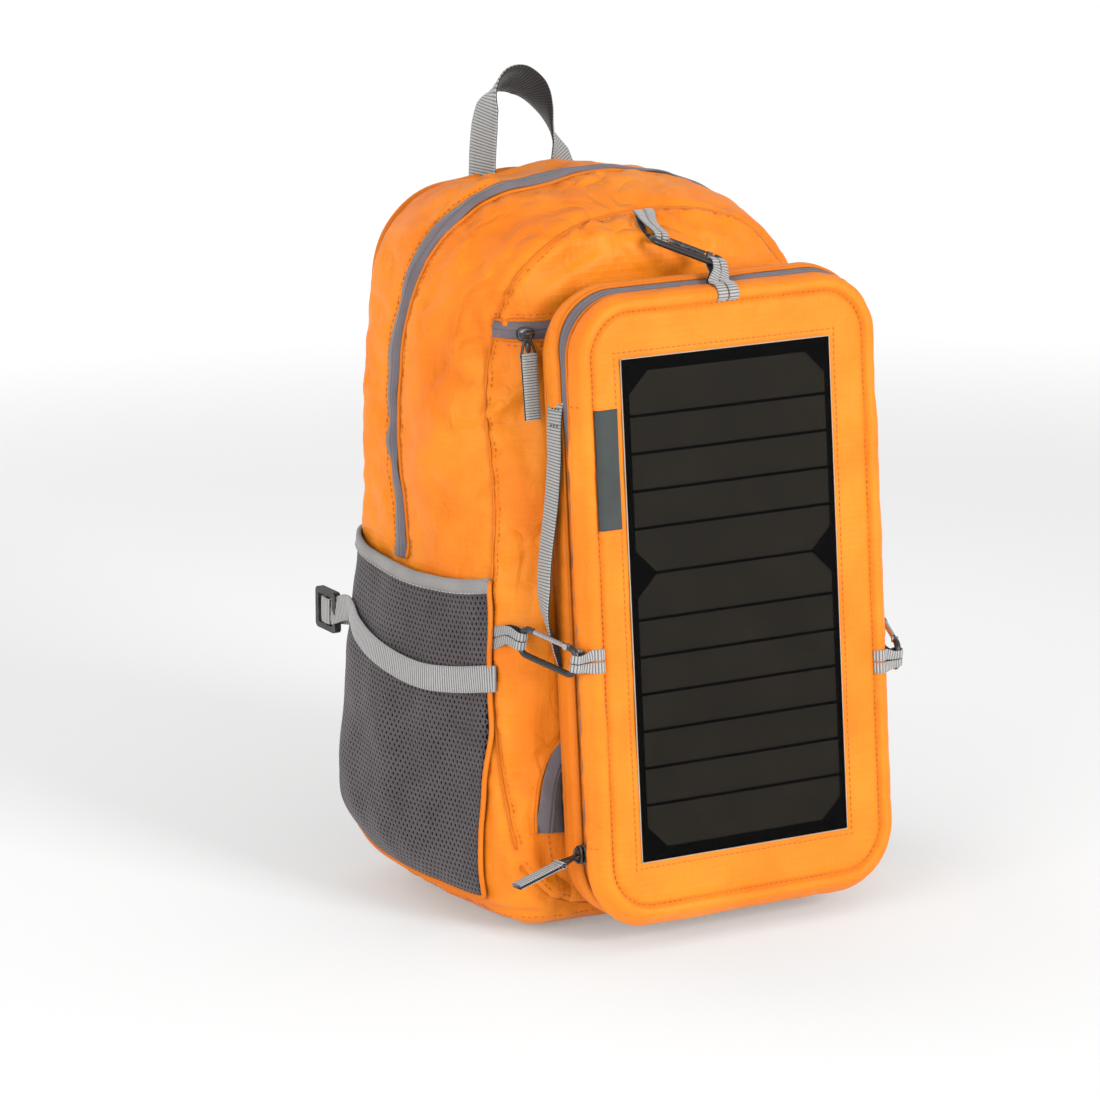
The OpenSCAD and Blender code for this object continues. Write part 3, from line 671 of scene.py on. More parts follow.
# A near-black cloth: the sheet just inside each side net, and the back foam.
BLACK_SHEET = plain_cloth("net_black_sheet", (0.022, 0.018, 0.02), (0.014, 0.012, 0.013), 0.0008)
BINDING = plain_cloth("binding_tape", (0.37, 0.352, 0.343), (0.31, 0.295, 0.287), 0.0005)
AIR_MESH = plain_cloth("back_mesh", (0.09, 0.08, 0.083), (0.06, 0.054, 0.056), 0.0011, 0.85, 0.7)
LIGHT_WEB = webbing_face("webbing_light", (0.52, 0.51, 0.495), (0.06, 0.057, 0.057))
DARK_WEB = webbing_face("webbing_dark", (0.030, 0.028, 0.028), (0.004, 0.004, 0.004), 0.8)
LABEL = plain_cloth("label_weave", (0.052, 0.063, 0.060), (0.044, 0.053, 0.051), 0.0004, 0.6, 0.3)
PLASTIC = moulded("buckle_plastic", (0.012, 0.012, 0.013), 0.42, (0.09, 0.09, 0.09))
BLACK_METAL = moulded("black_metal", (0.014, 0.015, 0.017), 0.3, (0.35, 0.34, 0.33), 0.4)
SILVER = bare_metal("gate_metal", (0.55, 0.55, 0.57), 0.28)
BACKSHEET = sheet_black("panel_backsheet")
CELLS = cell_face("solar_cells")
FILM = clear_film("clear_film")
PANEL_EDGE = plain_cloth("panel_edge_tape", (0.62, 0.5, 0.38), (0.5, 0.4, 0.3), 0.0004)
BOARD = circuit_green("controller_board")
WEB = [LIGHT_WEB, DARK_WEB]

NODE_LOOKS = {
    PLASTIC: ["left_ladder_lock", "right_ladder_lock", "left_strap_adjuster", "right_strap_adjuster",
              "controller_base", "controller_cover", "panel_lead"],
    BLACK_METAL: ["top_carabiner", "left_carabiner", "right_carabiner", "top_gate"],
    SILVER: ["left_gate", "right_gate", "top_gate_pin", "left_gate_pin", "right_gate_pin",
             "usb_socket"],
    BACKSHEET: ["solar_backsheet"], CELLS: ["solar_cells"], FILM: ["solar_film"],
    BOARD: ["controller_board"], BLACK_SHEET: ["back_foam"],
}


def dress_cad_nodes():
    for material, nodes in NODE_LOOKS.items():
        for node in nodes:
            obj = NODES[node]
            for s in obj.material_slots:
                s.material = material
            if node.endswith(("lock", "adjuster")):
                edge = obj.modifiers.new("edges", "BEVEL")
                edge.width = 0.7 * MM
                edge.segments = 3
                edge.limit_method = "ANGLE"


# ---------- the pack's body ----------

def ring_rays(y, angles, mid_z):
    """Rays that meet the body's surface in the upright plane at depth y."""
    d = np.stack([np.cos(angles), np.zeros_like(angles), np.sin(angles)], 1)
    return np.stack([0 * angles, y + 0 * angles, mid_z + 0 * angles], 1) + d * 400, -d


def zip_depth(angles):
    """How far back the main zip lies: forward over the left shoulder and at its left foot."""
    return ZIP_Y - 17 * np.exp(-((angles - 1.95) / 0.36) ** 2) - 15 * rise(angles, 2.65, 3.14)


def corner_rays(angles, mid_y, mid_z):
    """Rays that meet the rounded corner between the front panel and the sides."""
    c, s = np.cos(angles), np.sin(angles)
    climb = np.degrees(np.arctan2(s, np.abs(c)))
    lean = 0.40 * c ** 2 + np.where(s > 0, 0.09, 0.36) * s ** 2
    lean = lean - 0.07 * np.exp(-((climb - 40) / 15) ** 2) + 0.05 * np.exp(-((climb - 68) / 11) ** 2)
    d = unit(np.stack([c, -lean, s], 1))
    return np.array([0, mid_y, mid_z]) + d * 400, -d


zip_lo, zip_hi = cad_box_mm("main_zip")
ZIP_Y = (zip_lo[1] + zip_hi[1]) / 2
ZIP_W = zip_hi[1] - zip_lo[1]
REAR_Y = cad_box_mm("rear_shell")[1][1]
BODY_LO, BODY_HI = cad_box_mm("front_shell")
BOTTOM_TOP = cad_box_mm("bottom_panel")[1][2]
POCKET_TOP = cad_box_mm("left_pocket_binding")[1][2]
NET_LO, NET_HI = cad_box_mm("left_mesh_pocket")
MID_Z = 205.0
CORNER_Y = -20.0


def seam_lines(tree):
    """The pack's seams as lines on its surface: name -> (points, normals)."""
    over = np.radians(np.linspace(-1, 181, 240))
    around = np.radians(np.linspace(-180, 180, 360))
    loop = np.radians(np.linspace(-126, 232, 380))
    found = {
        "zip_front": shoot(tree, *ring_rays(zip_depth(over) - ZIP_W * 0.42, over, MID_Z)),
        "zip_rear": shoot(tree, *ring_rays(zip_depth(over) + ZIP_W * 0.42, over, MID_Z)),
        "rear": shoot(tree, *ring_rays(REAR_Y - 1.5, around, MID_Z)),
        "front": shoot(tree, *corner_rays(loop, CORNER_Y, MID_Z)),
    }
    flat = np.stack([np.cos(around), np.sin(around), np.zeros_like(around)], 1)
    found["bottom"] = shoot(tree, np.array([0, -15, BOTTOM_TOP]) + flat * 400, -flat)
    return {k: (smooth_line(p, 3), unit(smooth_line(n, 6))) for k, (p, n) in found.items()}


def slider_way(points):
    """1 where the main slider runs on the right side, fading to 0 round it."""
    x, y, z = points.T
    return (x > 0) * rise(24 - np.abs(y - ZIP_Y), 0, 8) * rise(z - 185, 0, 10) * rise(350 - z, 0, 15)


def body_cap(points):
    """How far the body's fabric may swell, in mm: little where something lies against it."""
    x, y, z = points.T
    cap = np.full(len(points), 7.0)
    behind_pouch = rise(-y, 50, 60) * rise(104 - np.abs(x), 0, 10) * rise(372 - z, 0, 14)
    cap -= 6.2 * behind_pouch
    beside_net = rise(np.abs(x), 95, 110) * rise(POCKET_TOP - z, 0, 12)
    cap = np.where(beside_net > 0, np.minimum(cap, 7 - 4.5 * beside_net), cap)
    cap = np.where(y > REAR_Y - 3, 1.5, cap)
    cap = cap * (1 - 0.92 * slider_way(points))
    return np.where(z < 10, 1.0, cap)


def side_swell(points):
    """The stuffed pack's left side bulges; the right one dips a little under its slider."""
    x, y, z = points.T
    reach = 8.5 * rise(-x, 60, 120)
    reach = reach * rise(68 - y, 0, 14) * rise(y + 78, 0, 75) * rise(z, 0, 34) * rise(404 - z, 0, 85)
    return reach - 1.2 * slider_way(points)


def make_pack_skin():
    points = cad_points("rear_shell", "front_shell", "bottom_panel")
    skin = hull_piece("pack_skin", points, LOOSE)
    remesh(skin, 5.0)
    relax(skin, 8)
    pts = get_points(skin)
    set_points(skin, pts + get_normals(skin) * side_swell(pts)[:, None])
    seams = seam_lines(tree_of(skin))
    pts = get_points(skin)
    pins = np.zeros(len(pts))
    for key in ("rear", "front", "bottom", "zip_front", "zip_rear"):
        near, _ = seam_distance(pts, seams[key][0])
        pins = np.maximum(pins, (near < 4.5) * 1.0)
    pins = np.where(pts[:, 2] < 4, 1.0, pins)
    pins = np.where(pts[:, 1] > REAR_Y - 2, 1.0, pins)
    puff(skin, pins, body_cap(pts), 1.6, 0.035)
    subdivide(skin)
    pts, nrm = get_points(skin), get_normals(skin)
    calm = np.clip(body_cap(pts) / 7, 0.05, 1) * (1 - 0.65 * rise(pts[:, 1], 36, 60))
    pts = crumple(pts, nrm, 1.6 * calm, 46, 3.1, (1, 1, 0.55))
    pts = crumple(pts, nrm, 0.7 * calm, 21, 11.4, (0.8, 0.8, 1.2))
    pts = crease(pts, nrm, 1.6 * calm, 74, 5.5, (0.8, 0.8, 1.25))
    pts = crease(pts, nrm, 1.0 * calm, 40, 17.2, (1.3, 1.3, 0.6))
    seams = seam_lines(tree_of(skin))
    nrm = get_normals(skin)
    pts = sew(pts, nrm, [
        (seams["zip_front"][0], 1.3, 2.6, 0.8), (seams["zip_rear"][0], 1.3, 2.6, 0.8),
        (seams["rear"][0], 1.4, 3.0, 0.35), (seams["front"][0], 1.7, 2.6, 1.0),
        (seams["bottom"][0], 1.2, 2.4, 0.5)])
    pts[:, 2] = np.maximum(pts[:, 2], 0.2)
    set_points(skin, pts)
    place(skin, "pack", "body_fabric", "rear_shell", "front_shell", "bottom_panel")
    return skin


def on_skin(tree, line, side, lift=0.0):
    """A line moved sideways and laid back on the surface."""
    pts, nrm = line
    pts = pts + np.cross(unit(np.gradient(pts, axis=0)), nrm) * side
    pts, nrm = shoot(tree, pts + nrm * 25, -nrm)
    nrm = unit(smooth_line(nrm, 4))
    return smooth_line(pts, 2) + nrm * lift, nrm


def make_body_trim(skin):
    tree = tree_of(skin)
    seams = seam_lines(tree)
    threads = Heap()
    welts = Heap()
    over = np.radians(np.linspace(-2, 182, 260))
    mid = shoot(tree, *ring_rays(zip_depth(over), over, MID_Z))
    mid = (smooth_line(mid[0], 8), unit(smooth_line(mid[1], 12)))
    zipper = band("main_zip_tape", mid[0] + mid[1] * 0.3, mid[1], zip_cut(ZIP_W * 0.86), [TAPE], 1.3)
    place(zipper, "pack", "zip_tape", "main_zip")
    for way in (1, -1):
        line = on_skin(tree, mid, way * ZIP_W * 0.42, 0.5)
        welts.tube(smooth_line(line[0], 5), 1.25, 10)
        threads.stitches(*on_skin(tree, mid, way * ZIP_W * 0.70), lift=0.05)
    rear = (smooth_line(seams["rear"][0], 4, True), seams["rear"][1])
    welts.tube(rear[0][:-1] + rear[1][:-1] * 0.8, 1.9, 12, closed=True)
    welts.tube(smooth_line(seams["front"][0], 4) + seams["front"][1] * 0.3, 0.9, 8)
    threads.stitches(*on_skin(tree, seams["front"], -4.0), lift=0.05)
    threads.stitches(*on_skin(tree, seams["bottom"], 4.5), lift=0.05)
    welts.make("pack_piping", WELT, "pack", "body_fabric")
    threads.make("pack_stitching", THREAD, "pack", "body_fabric")
    return tree


def front_line(tree, corners):
    """A line on the front face through (x, z) corners."""
    flat = curve([(x, 0, z) for x, z in corners], 2.0)
    pts, nrm = shoot(tree, flat * [1, 0, 1] + [0, -300, 0], [0, 1, 0])
    return smooth_line(pts, 3), unit(smooth_line(nrm, 8))


def make_front_zips(tree):
    lo, hi = cad_box_mm("front_pocket_zip")
    z = (lo[2] + hi[2]) / 2
    height = hi[2] - lo[2]
    top = front_line(tree, [(lo[0] - 1, z), (-40, z + 1), (20, z + 1), (hi[0], z - 1)])
    path = top[0] + top[1] * 0.5
    zipper = band("front_zip_tape", path, top[1], zip_cut(height - 1), [TAPE], 1.3)
    place(zipper, "pack", "zip_tape", "front_pocket_zip")
    welts, threads = Heap(), Heap()
    for way in (-1, 1):
        edge = on_skin(tree, top, way * (height / 2 - 0.4), 0.6)
        welts.tube(edge[0], 1.0, 8)
        threads.stitches(*on_skin(tree, top, way * (height / 2 + 2.6)), lift=0.05)
    lo, hi = cad_box_mm("lower_pocket_zip")
    wide = hi[0] - 4.5
    bend = 38.0
    turn = np.radians(np.linspace(180, 90, 12))
    left = [(-wide, lo[2] + 1), (-wide, hi[2] - 9 - bend)]
    left += [(-wide + bend + bend * math.cos(a), hi[2] - 9 - bend + bend * math.sin(a)) for a in turn[1:]]
    low = front_line(tree, left + [(-x, z) for x, z in reversed(left)])
    trim = band("lower_zip_tape", low[0] + low[1] * 0.5, low[1], zip_cut(17), [TAPE], 1.3)
    place(trim, "pack", "zip_tape", "lower_pocket_zip")
    for way in (-1, 1):
        edge = on_skin(tree, low, way * 8.4, 0.6)
        welts.tube(edge[0], 1.0, 8)
    for x in (-1, 1):
        down = [(x * wide, lo[2] - 2), (x * (wide - 4), 34), (x * (wide - 10), 16)]
        threads.stitches(*front_line(tree, down))
        threads.stitches(*front_line(tree, [(x * (wide + 20), lo[2] + 3), (x * (wide + 8), lo[2] + 1)]))
    welts.make("pocket_piping", WELT, "pack", "body_fabric")
    threads.make("pocket_stitching", THREAD, "pack", "body_fabric")


# ---------- side pockets ----------

class Patch:
    """A smooth sheet beside the body: u runs from the rear to the front, v from the foot to the top."""

    def __init__(self, tree, side):
        self.side = side
        self.label = SIDES[side]
        cols, rows = 46, 54
        u = np.linspace(0, 1, cols)
        foot = NET_LO[2] + 3 + 13 * (1 - u) ** 1.5
        top = POCKET_TOP - 1 - 7 * np.sin(math.pi * u) ** 0.8 - 4 * u
        v = np.linspace(0, 1, rows)[:, None]
        z = foot * (1 - v) + top * v
        front = NET_LO[1] + 6 - 5 * np.sin(math.pi * np.minimum(v * 0.75, 0.75)) + 6 * v ** 3
        yy = (NET_HI[1] + 1.5) * (1 - u) + front * u
        start = np.stack([np.full(z.size, side * 300.0), yy.ravel(), z.ravel()], 1)
        pts, nrm = shoot(tree, start, [-side, 0, 0])
        raw = pts.reshape(rows, cols, 3)
        self.base = self.soften(raw, 6)
        nrm = unit(self.soften(nrm.reshape(rows, cols, 3), 14))
        uu = np.broadcast_to(u, z.shape)
        vv = np.broadcast_to(v, z.shape)
        across = rise(uu, -0.08, 0.14) * (1 - 0.9 * rise(uu, 0.35, 1.0)) * (uu > 0)
        full = across * rise(vv, -0.06, 0.16)
        sag = 14.0 * full * (1 - 0.72 * rise(vv, 0.45, 1))
        flat = self.base.reshape(-1, 3)
        folds = noise_at(flat, 34, 5.0 + side, (1, 1.2, 0.5))
        folds = folds + 0.5 * noise_at(flat, 15, 9.0 + side, (1, 1.4, 0.6))
        sag = sag + folds.reshape(z.shape) * 2.6 * np.sin(math.pi * uu) * rise(vv, 0, 0.12)
        need = ((raw - self.base) * nrm).sum(-1) + 2.9
        sag = np.maximum(sag + 1.2, need)
        sag = self.soften(sag[..., None], 2)[..., 0]
        self.out = nrm
        self.sheet = self.base + nrm * np.maximum(sag, need - 0.6)[..., None]

    @staticmethod
    def soften(grid, rounds):
        g = grid.copy()
        for _ in range(rounds):
            g[1:-1] = (g[:-2] + 2 * g[1:-1] + g[2:]) / 4
            g[:, 1:-1] = (g[:, :-2] + 2 * g[:, 1:-1] + g[:, 2:]) / 4
        return g

    def at(self, u, v, grid=None):
        grid = self.sheet if grid is None else grid
        rows, cols = grid.shape[:2]
        a = np.clip(np.asarray(u) * (cols - 1), 0, cols - 1.001)
        b = np.clip(np.asarray(v) * (rows - 1), 0, rows - 1.001)
        i, j = a.astype(int), b.astype(int)
        fa, fb = (a - i)[..., None], (b - j)[..., None]
        low = grid[j, i] * (1 - fa) + grid[j, i + 1] * fa
        high = grid[j + 1, i] * (1 - fa) + grid[j + 1, i + 1] * fa
        return low * (1 - fb) + high * fb

    def normal(self, u, v):
        return unit(self.at(u, v, self.out))


def make_net(patch):
    """The open net: a sheet of six-sided cells, each with a hole."""
    size = patch.sheet[0, 0] - patch.sheet[0, -1]
    wide, tall = abs(size[1]) * 1.12, 178.0
    pitch = 3.3
    cols, rows = int(wide / pitch), int(tall / (pitch * 0.866))
    points, faces, index = [], [], {}

    def corner(x, y):
        key = (round(x * 6), round(y * 6))
        if key not in index:
            index[key] = len(points)
            points.append((x, y))
        return index[key]

    r = 1 / math.sqrt(3)
    for j in range(rows):
        for i in range(cols):
            cx, cy = i + 0.5 * (j % 2), j * 0.866
            outer = [corner(cx + r * math.sin(math.pi / 3 * k), cy + r * math.cos(math.pi / 3 * k))
                     for k in range(6)]
            inner = []
            for k in range(6):
                a = math.pi / 3 * k
                inner.append(len(points))
                points.append((cx + 0.22 * math.sin(a), cy + 0.31 * math.cos(a)))
            faces += [(outer[k], inner[k], inner[(k + 1) % 6], outer[(k + 1) % 6]) for k in range(6)]
    grid = np.array(points)
    u = (grid[:, 0] + 0.5) / (cols + 1)
    v = (grid[:, 1] + 0.5) / (rows * 0.866 + 0.5)
    if patch.side > 0:
        faces = [f[::-1] for f in faces]
    net = make_piece(f"{patch.label}_net", patch.at(u, v), faces, [NET])
    thicken(net, 0.7, 0)
    return place(net, "pack", "mesh")


def make_black_sheet(patch):
    # A near-black sheet 1.3 mm inside the net; the net's holes show it as black.
    outer = (patch.sheet - patch.out * 1.3).reshape(-1, 3)
    faces = grid_faces(*patch.sheet.shape[:2], False)
    if patch.side > 0:
        faces = [f[::-1] for f in faces]
    black_sheet = make_piece(f"{patch.label}_net_black_sheet", outer, faces, [BLACK_SHEET])
    thicken(black_sheet, 0.5, -1)
    return place(black_sheet, "pack", "mesh", f"{patch.label}_mesh_pocket")


def binding_cut(width, thick):
    w, t = width / 2, thick / 2
    return [(-w, 0, 0, 0), (-w * 0.9, t, 0, 0), (-w * 0.3, t * 1.15, 0, 0), (w * 0.3, t * 1.15, 0, 0),
            (w * 0.9, t, 0, 0), (w, 0, 0, 0), (w * 0.9, -t, 0, 0), (-w * 0.9, -t, 0, 0)]


def make_pocket(tree, side):
    label = SIDES[side]
    patch = Patch(tree, side)
    make_net(patch)
    make_black_sheet(patch)
    u = np.linspace(0, 1, 90)
    top = patch.at(u, np.full(90, 0.985))
    out = patch.normal(u, np.full(90, 0.985))
    edge = band(f"{label}_binding", smooth_line(top, 4), out, binding_cut(8.5, 2.6), [BINDING], 1.0, 1.0)
    place(edge, "pack", "webbing", f"{label}_pocket_binding")
    threads, welts = Heap(), Heap()
    rows = patch.at(u, np.full(90, 0.965)) + out * 1.5
    threads.stitches(rows, out, 3.0, 2.0, 0.3)
    threads.make(f"{label}_binding_stitching", PALE_THREAD, "pack", "webbing")
    v = np.linspace(0, 1, 60)
    rim = np.vstack([patch.at(np.zeros(60), v[::-1]), patch.at(u, np.zeros(90)), patch.at(np.ones(60), v)])
    welts.tube(smooth_line(rim, 3), 1.5, 10)
    welts.make(f"{label}_pocket_piping", WELT, "pack", "body_fabric")
    return patch


def make_compression(patch, tree):
    """The strap across a pocket: from the ladder lock at the rear to the front panel's seam."""
    side, label = patch.side, patch.label
    lo, hi = cad_box_mm(f"{label}_compression_strap")
    lock_lo, lock_hi = cad_box_mm(f"{label}_ladder_lock")
    width = hi[2] - lo[2]
    mid = (lo[2] + hi[2]) / 2
    share = (mid - NET_LO[2]) / (POCKET_TOP - NET_LO[2])
    u = np.array([0.10, 0.22, 0.36, 0.52, 0.68, 0.84, 1.0])
    dip = np.array([0.055, 0.025, 0.0, -0.022, -0.03, -0.022, -0.01])
    rest = patch.at(u, share + dip) + patch.normal(u, share + dip) * 1.9
    lock = (lock_lo + lock_hi) / 2
    lock_out = np.array([side * 1.0, 0.15, 0])
    start = lock + np.array([side * 1.5, -6, 0])
    ctrl = np.vstack([[start], rest, [rest[-1] + np.array([-side * 3.5, -4.5, 0.5])]])
    out = np.vstack([[lock_out], patch.normal(u, share + dip), [patch.normal(1.0, share) + [0, -0.6, 0]]])
    path, out = curve(ctrl, 2, out)
    strap = band(f"{label}_strap_band", path, out, woven(width), WEB, 1.6)
    place(strap, "pack", "webbing", f"{label}_compression_strap")
    root = shoot(tree, [[side * 300, REAR_Y - 6, lock[2]]], [-side, 0, 0])[0][0]
    back = curve([root, (root + lock) / 2 + [side * 3, 2, 0], lock + [side * 1.0, 4, 0],
                  lock + [side * 2.4, -1, 0], lock + [side * 2.0, -7, 0]], 1)
    tail = band(f"{label}_lock_band", back, [side, -0.5, 0], woven(width), WEB, 1.6)
    place(tail, "pack", "webbing")


# ---------- back pad, straps and grab handle ----------

PAD_LO, PAD_HI = cad_box_mm("back_panel")


def quilt_distance(points):
    """Distance from the nearest quilted channel of the back pad."""
    x, _, z = points.T
    across = [np.where(np.abs(x) > 20, np.abs(z - h), 99) for h in (105, 205, 305)]
    return np.min([np.abs(np.abs(x) - 20), *across], 0)


def make_back_pad():
    pad = hull_piece("back_pad", cad_points("back_panel"), AIR_MESH)
    pad.data.materials.append(ORANGE)
    remesh(pad, 4.5)
    relax(pad, 6)
    mid = (PAD_LO[1] + PAD_HI[1]) / 2
    pts = get_points(pad)
    x, y, z = pts.T
    pins = ((quilt_distance(pts) < 3.2) | (y < mid) | (z < PAD_LO[2] + 4)) * 1.0
    under_strap = (np.abs(x) > 15) & (z > 140)
    puff(pad, pins, np.where(under_strap, 2.2, 3.2), 2.0, 0.02, 14)
    subdivide(pad)
    pts, nrm = get_points(pad), get_normals(pad)
    back = rise(pts[:, 1], mid, mid + 3)
    pts = pts - nrm * (back * 2.2 * np.exp(-(quilt_distance(pts) / 3.0) ** 2))[:, None]
    pts = crumple(pts, nrm, 0.35 * back, 26, 8.0)
    set_points(pad, pts)
    border = PAD_HI[1] - 4
    edge = np.array([p.center[1] < border * MM for p in pad.data.polygons])
    pad.data.polygons.foreach_set("material_index", edge.astype(np.int32))
    place(pad, "pack", "mesh", "back_panel")
    threads = Heap()
    tree = tree_of(pad)
    for x0 in (-20, 20):
        z = np.linspace(PAD_LO[2] + 24, PAD_HI[2] - 16, 160)
        start = np.stack([np.full(160, x0), np.full(160, 200.0), z], 1)
        threads.stitches(*shoot(tree, start, [0, -1, 0]), lift=0.3)
    threads.make("back_pad_stitching", DARK_WEB, "pack", "mesh")
    around = np.radians(np.linspace(-180, 180, 300))
    rim = shoot(tree, *ring_rays(border, around, MID_Z))
    piping = Heap()
    piping.tube(smooth_line(rim[0], 3, True)[:-1] + rim[1][:-1] * 0.3, 2.3, 12, closed=True)
    piping.make("back_pad_piping", WELT, "pack", "body_fabric")


def make_shoulder_strap(side):
    label = SIDES[side]
    node = f"{label}_shoulder_strap"
    body = f"{label}_strap"
    seam = 23
    pad = new_object(f"{label}_strap_pad", NODES[node].data.copy())
    pad.data.materials.clear()
    pad.data.materials.append(ORANGE)
    pad.data.materials.append(AIR_MESH)
    remesh(pad, 4.5)
    relax(pad, 10)
    hinge = np.array(JOINTS[f"{label}_strap_swing"]["pos_m"]) / MM
    _, axes, size = principal_frame(node)
    down = axes[0] * -np.sign(axes[0][2])
    wide = np.cross(down, BACK)

    def bow(share):
        return 26 * np.sin(math.pi * share) + 4 * share

    def shares(pts):
        along = (pts - hinge) @ down
        return along, (pts - hinge) @ wide, pts[:, 1] - hinge[1] - bow(np.clip(along / size[0], 0, 1))

    along, across, deep = shares(get_points(pad))
    edge = (np.abs(across) > 26) & (np.abs(deep - 5.5) < 3.5)
    ends = (along < 6) | (along > size[0] - 8)
    puff(pad, (edge | ends) * 1.0, np.where(deep < 5.5, 1.8, 3.0), 2.2, 0.015, 12)
    subdivide(pad)
    pts, nrm = get_points(pad), get_normals(pad)
    channel = 1.4 * np.exp(-((np.abs(shares(pts)[1]) - seam) / 2.2) ** 2)
    pts = crumple(pts, nrm, 0.5, 24, 2.0 + side, (1, 1, 1.3))
    set_points(pad, pts - nrm * channel[:, None])
    inner = shares(np.array([p.center for p in pad.data.polygons]) / MM)[2] < 5.2
    pad.data.polygons.foreach_set("material_index", inner.astype(np.int32))
    place(pad, body, "body_fabric", node)
    tree = tree_of(pad)
    trim, threads = Heap(), Heap()
    s = np.linspace(0.03, 0.975, 90)
    spine = hinge + down * (s * size[0])[:, None] + BACK * (bow(s) + 5.5)[:, None]
    for way in (-1, 1):
        edge = shoot(tree, spine + wide * way * 60, -wide * way)[0]
        trim.tube(smooth_line(edge, 4), 1.7, 10)
        top = shoot(tree, spine + wide * way * seam + BACK * 40, -BACK)
        threads.stitches(*top, lift=0.1)
    trim.make(f"{label}_strap_piping", LIGHT_WEB, body, "webbing")
    threads.make(f"{label}_strap_stitching", THREAD, body, "body_fabric")
    root = hinge + [0, PAD_HI[1] - hinge[1] - 3.5, 8]
    ctrl = [root, root + [0, 4.5, 0.5], hinge + [0, 8.5, 2], hinge + down * 10 + [0, 13.2, 0],
            hinge + down * 34 + [0, 20.5, 0]]
    out = np.array([[0, 0.5, 1], [0, 0.8, 0.6], [0, 1, 0.4], [0, 1, 0.25], [0, 1, 0.3]])
    path, outward = curve(ctrl, 1.5, out)
    tab = band(f"{label}_strap_root", path, outward, woven(46, 2.4), [WELT, WELT], 2.2)
    across_joint(tab)
    make_strap_webbing(label, side, down, wide)


def make_strap_webbing(label, side, down, wide):
    """Webbing from the strap's end through the adjuster, with a hanging tail, and its root at the foot."""
    body = f"{label}_strap"
    lock, _, _ = principal_frame(f"{label}_strap_adjuster")
    centre, axes, size = principal_frame(f"{label}_strap_webbing")
    fall = axes[0] * -np.sign(axes[0][2])
    top = centre - fall * size[0] / 2
    foot = centre + fall * size[0] / 2
    tail = curve([lock + down * 5 - BACK * 3.2, lock + down * 0.5 - BACK * 1.5,
                  lock - down * 3 + BACK * 1.2, top + down * 1 + BACK * 2.6,
                  top + fall * 14 + BACK * 2.2, top + fall * 40 + BACK * 3.5, foot], 1)
    hang = band(f"{label}_strap_tail", tail, BACK, woven(24), WEB, 1.6)
    place(hang, body, "webbing", f"{label}_strap_webbing")
    upper = curve([lock - down * 26 - BACK * 0.5, lock - down * 17, lock - down * 11 + BACK * 1.6,
                   lock - down * 9 - BACK * 1.0], 1)
    loop = band(f"{label}_strap_anchor", upper, BACK, woven(26), WEB, 1.6)
    place(loop, body, "webbing")
    root = np.array([side * (PAD_HI[0] - 16), REAR_Y - 1.5, PAD_LO[2] + 26])
    start = lock + down * 6 - BACK * 3.4
    side_out = unit(np.cross(unit(root - start), wide))
    side_out = side_out * np.sign(side_out @ BACK)
    ctrl = [start, start + down * 10 - BACK * 1.5, start * 0.55 + root * 0.45 + BACK * 4 + [0, 0, -6],
            root + unit(start - root) * 16 + BACK * 12.5, root]
    low = curve(ctrl, 1.5)
    web = band(f"{label}_lower_webbing", low, side_out, woven(24), WEB, 1.6)
    across_joint(web)


def make_grab_handle():
    lo, hi = cad_box_mm("grab_handle")
    y = (lo[1] + hi[1]) / 2
    shape = [(-49.5, 398), (-49, 413), (-48.3, 428), (-46.8, 440), (-43.5, 449), (-36.5, 454.5), (-28, 454.5),
             (-18.5, 449), (-11, 440), (-5.5, 429), (-1.5, 418), (1.5, 408), (4, 398)]
    lean = [0, 0, -1, -2, -2, -1, 0, 1, 2, 2, 1, 0, 0]
    outer = [(-0.99, -0.12, 0), (-0.99, -0.12, 0), (-0.99, -0.1, 0.05), (-0.97, 0.02, 0.2), (-0.7, 0.4, 0.55),
             (-0.2, 0.66, 0.75), (0.1, 0.7, 0.7), (0.45, 0.55, 0.65), (0.78, 0.15, 0.5), (0.9, -0.25, 0.3),
             (0.85, -0.5, 0.1), (0.62, -0.78, 0), (0.5, -0.87, 0)]
    ctrl = [(x, y + d, z) for (x, z), d in zip(shape, lean)]
    path, outward = curve(ctrl, 1.5, outer)
    width = hi[1] - lo[1]
    strap = band("grab_webbing", path, outward, woven(width, 1.8, 0.16), WEB, 1.75)
    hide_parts("grab_handle")
    across_joint(strap)


# ---------- solar pouch ----------

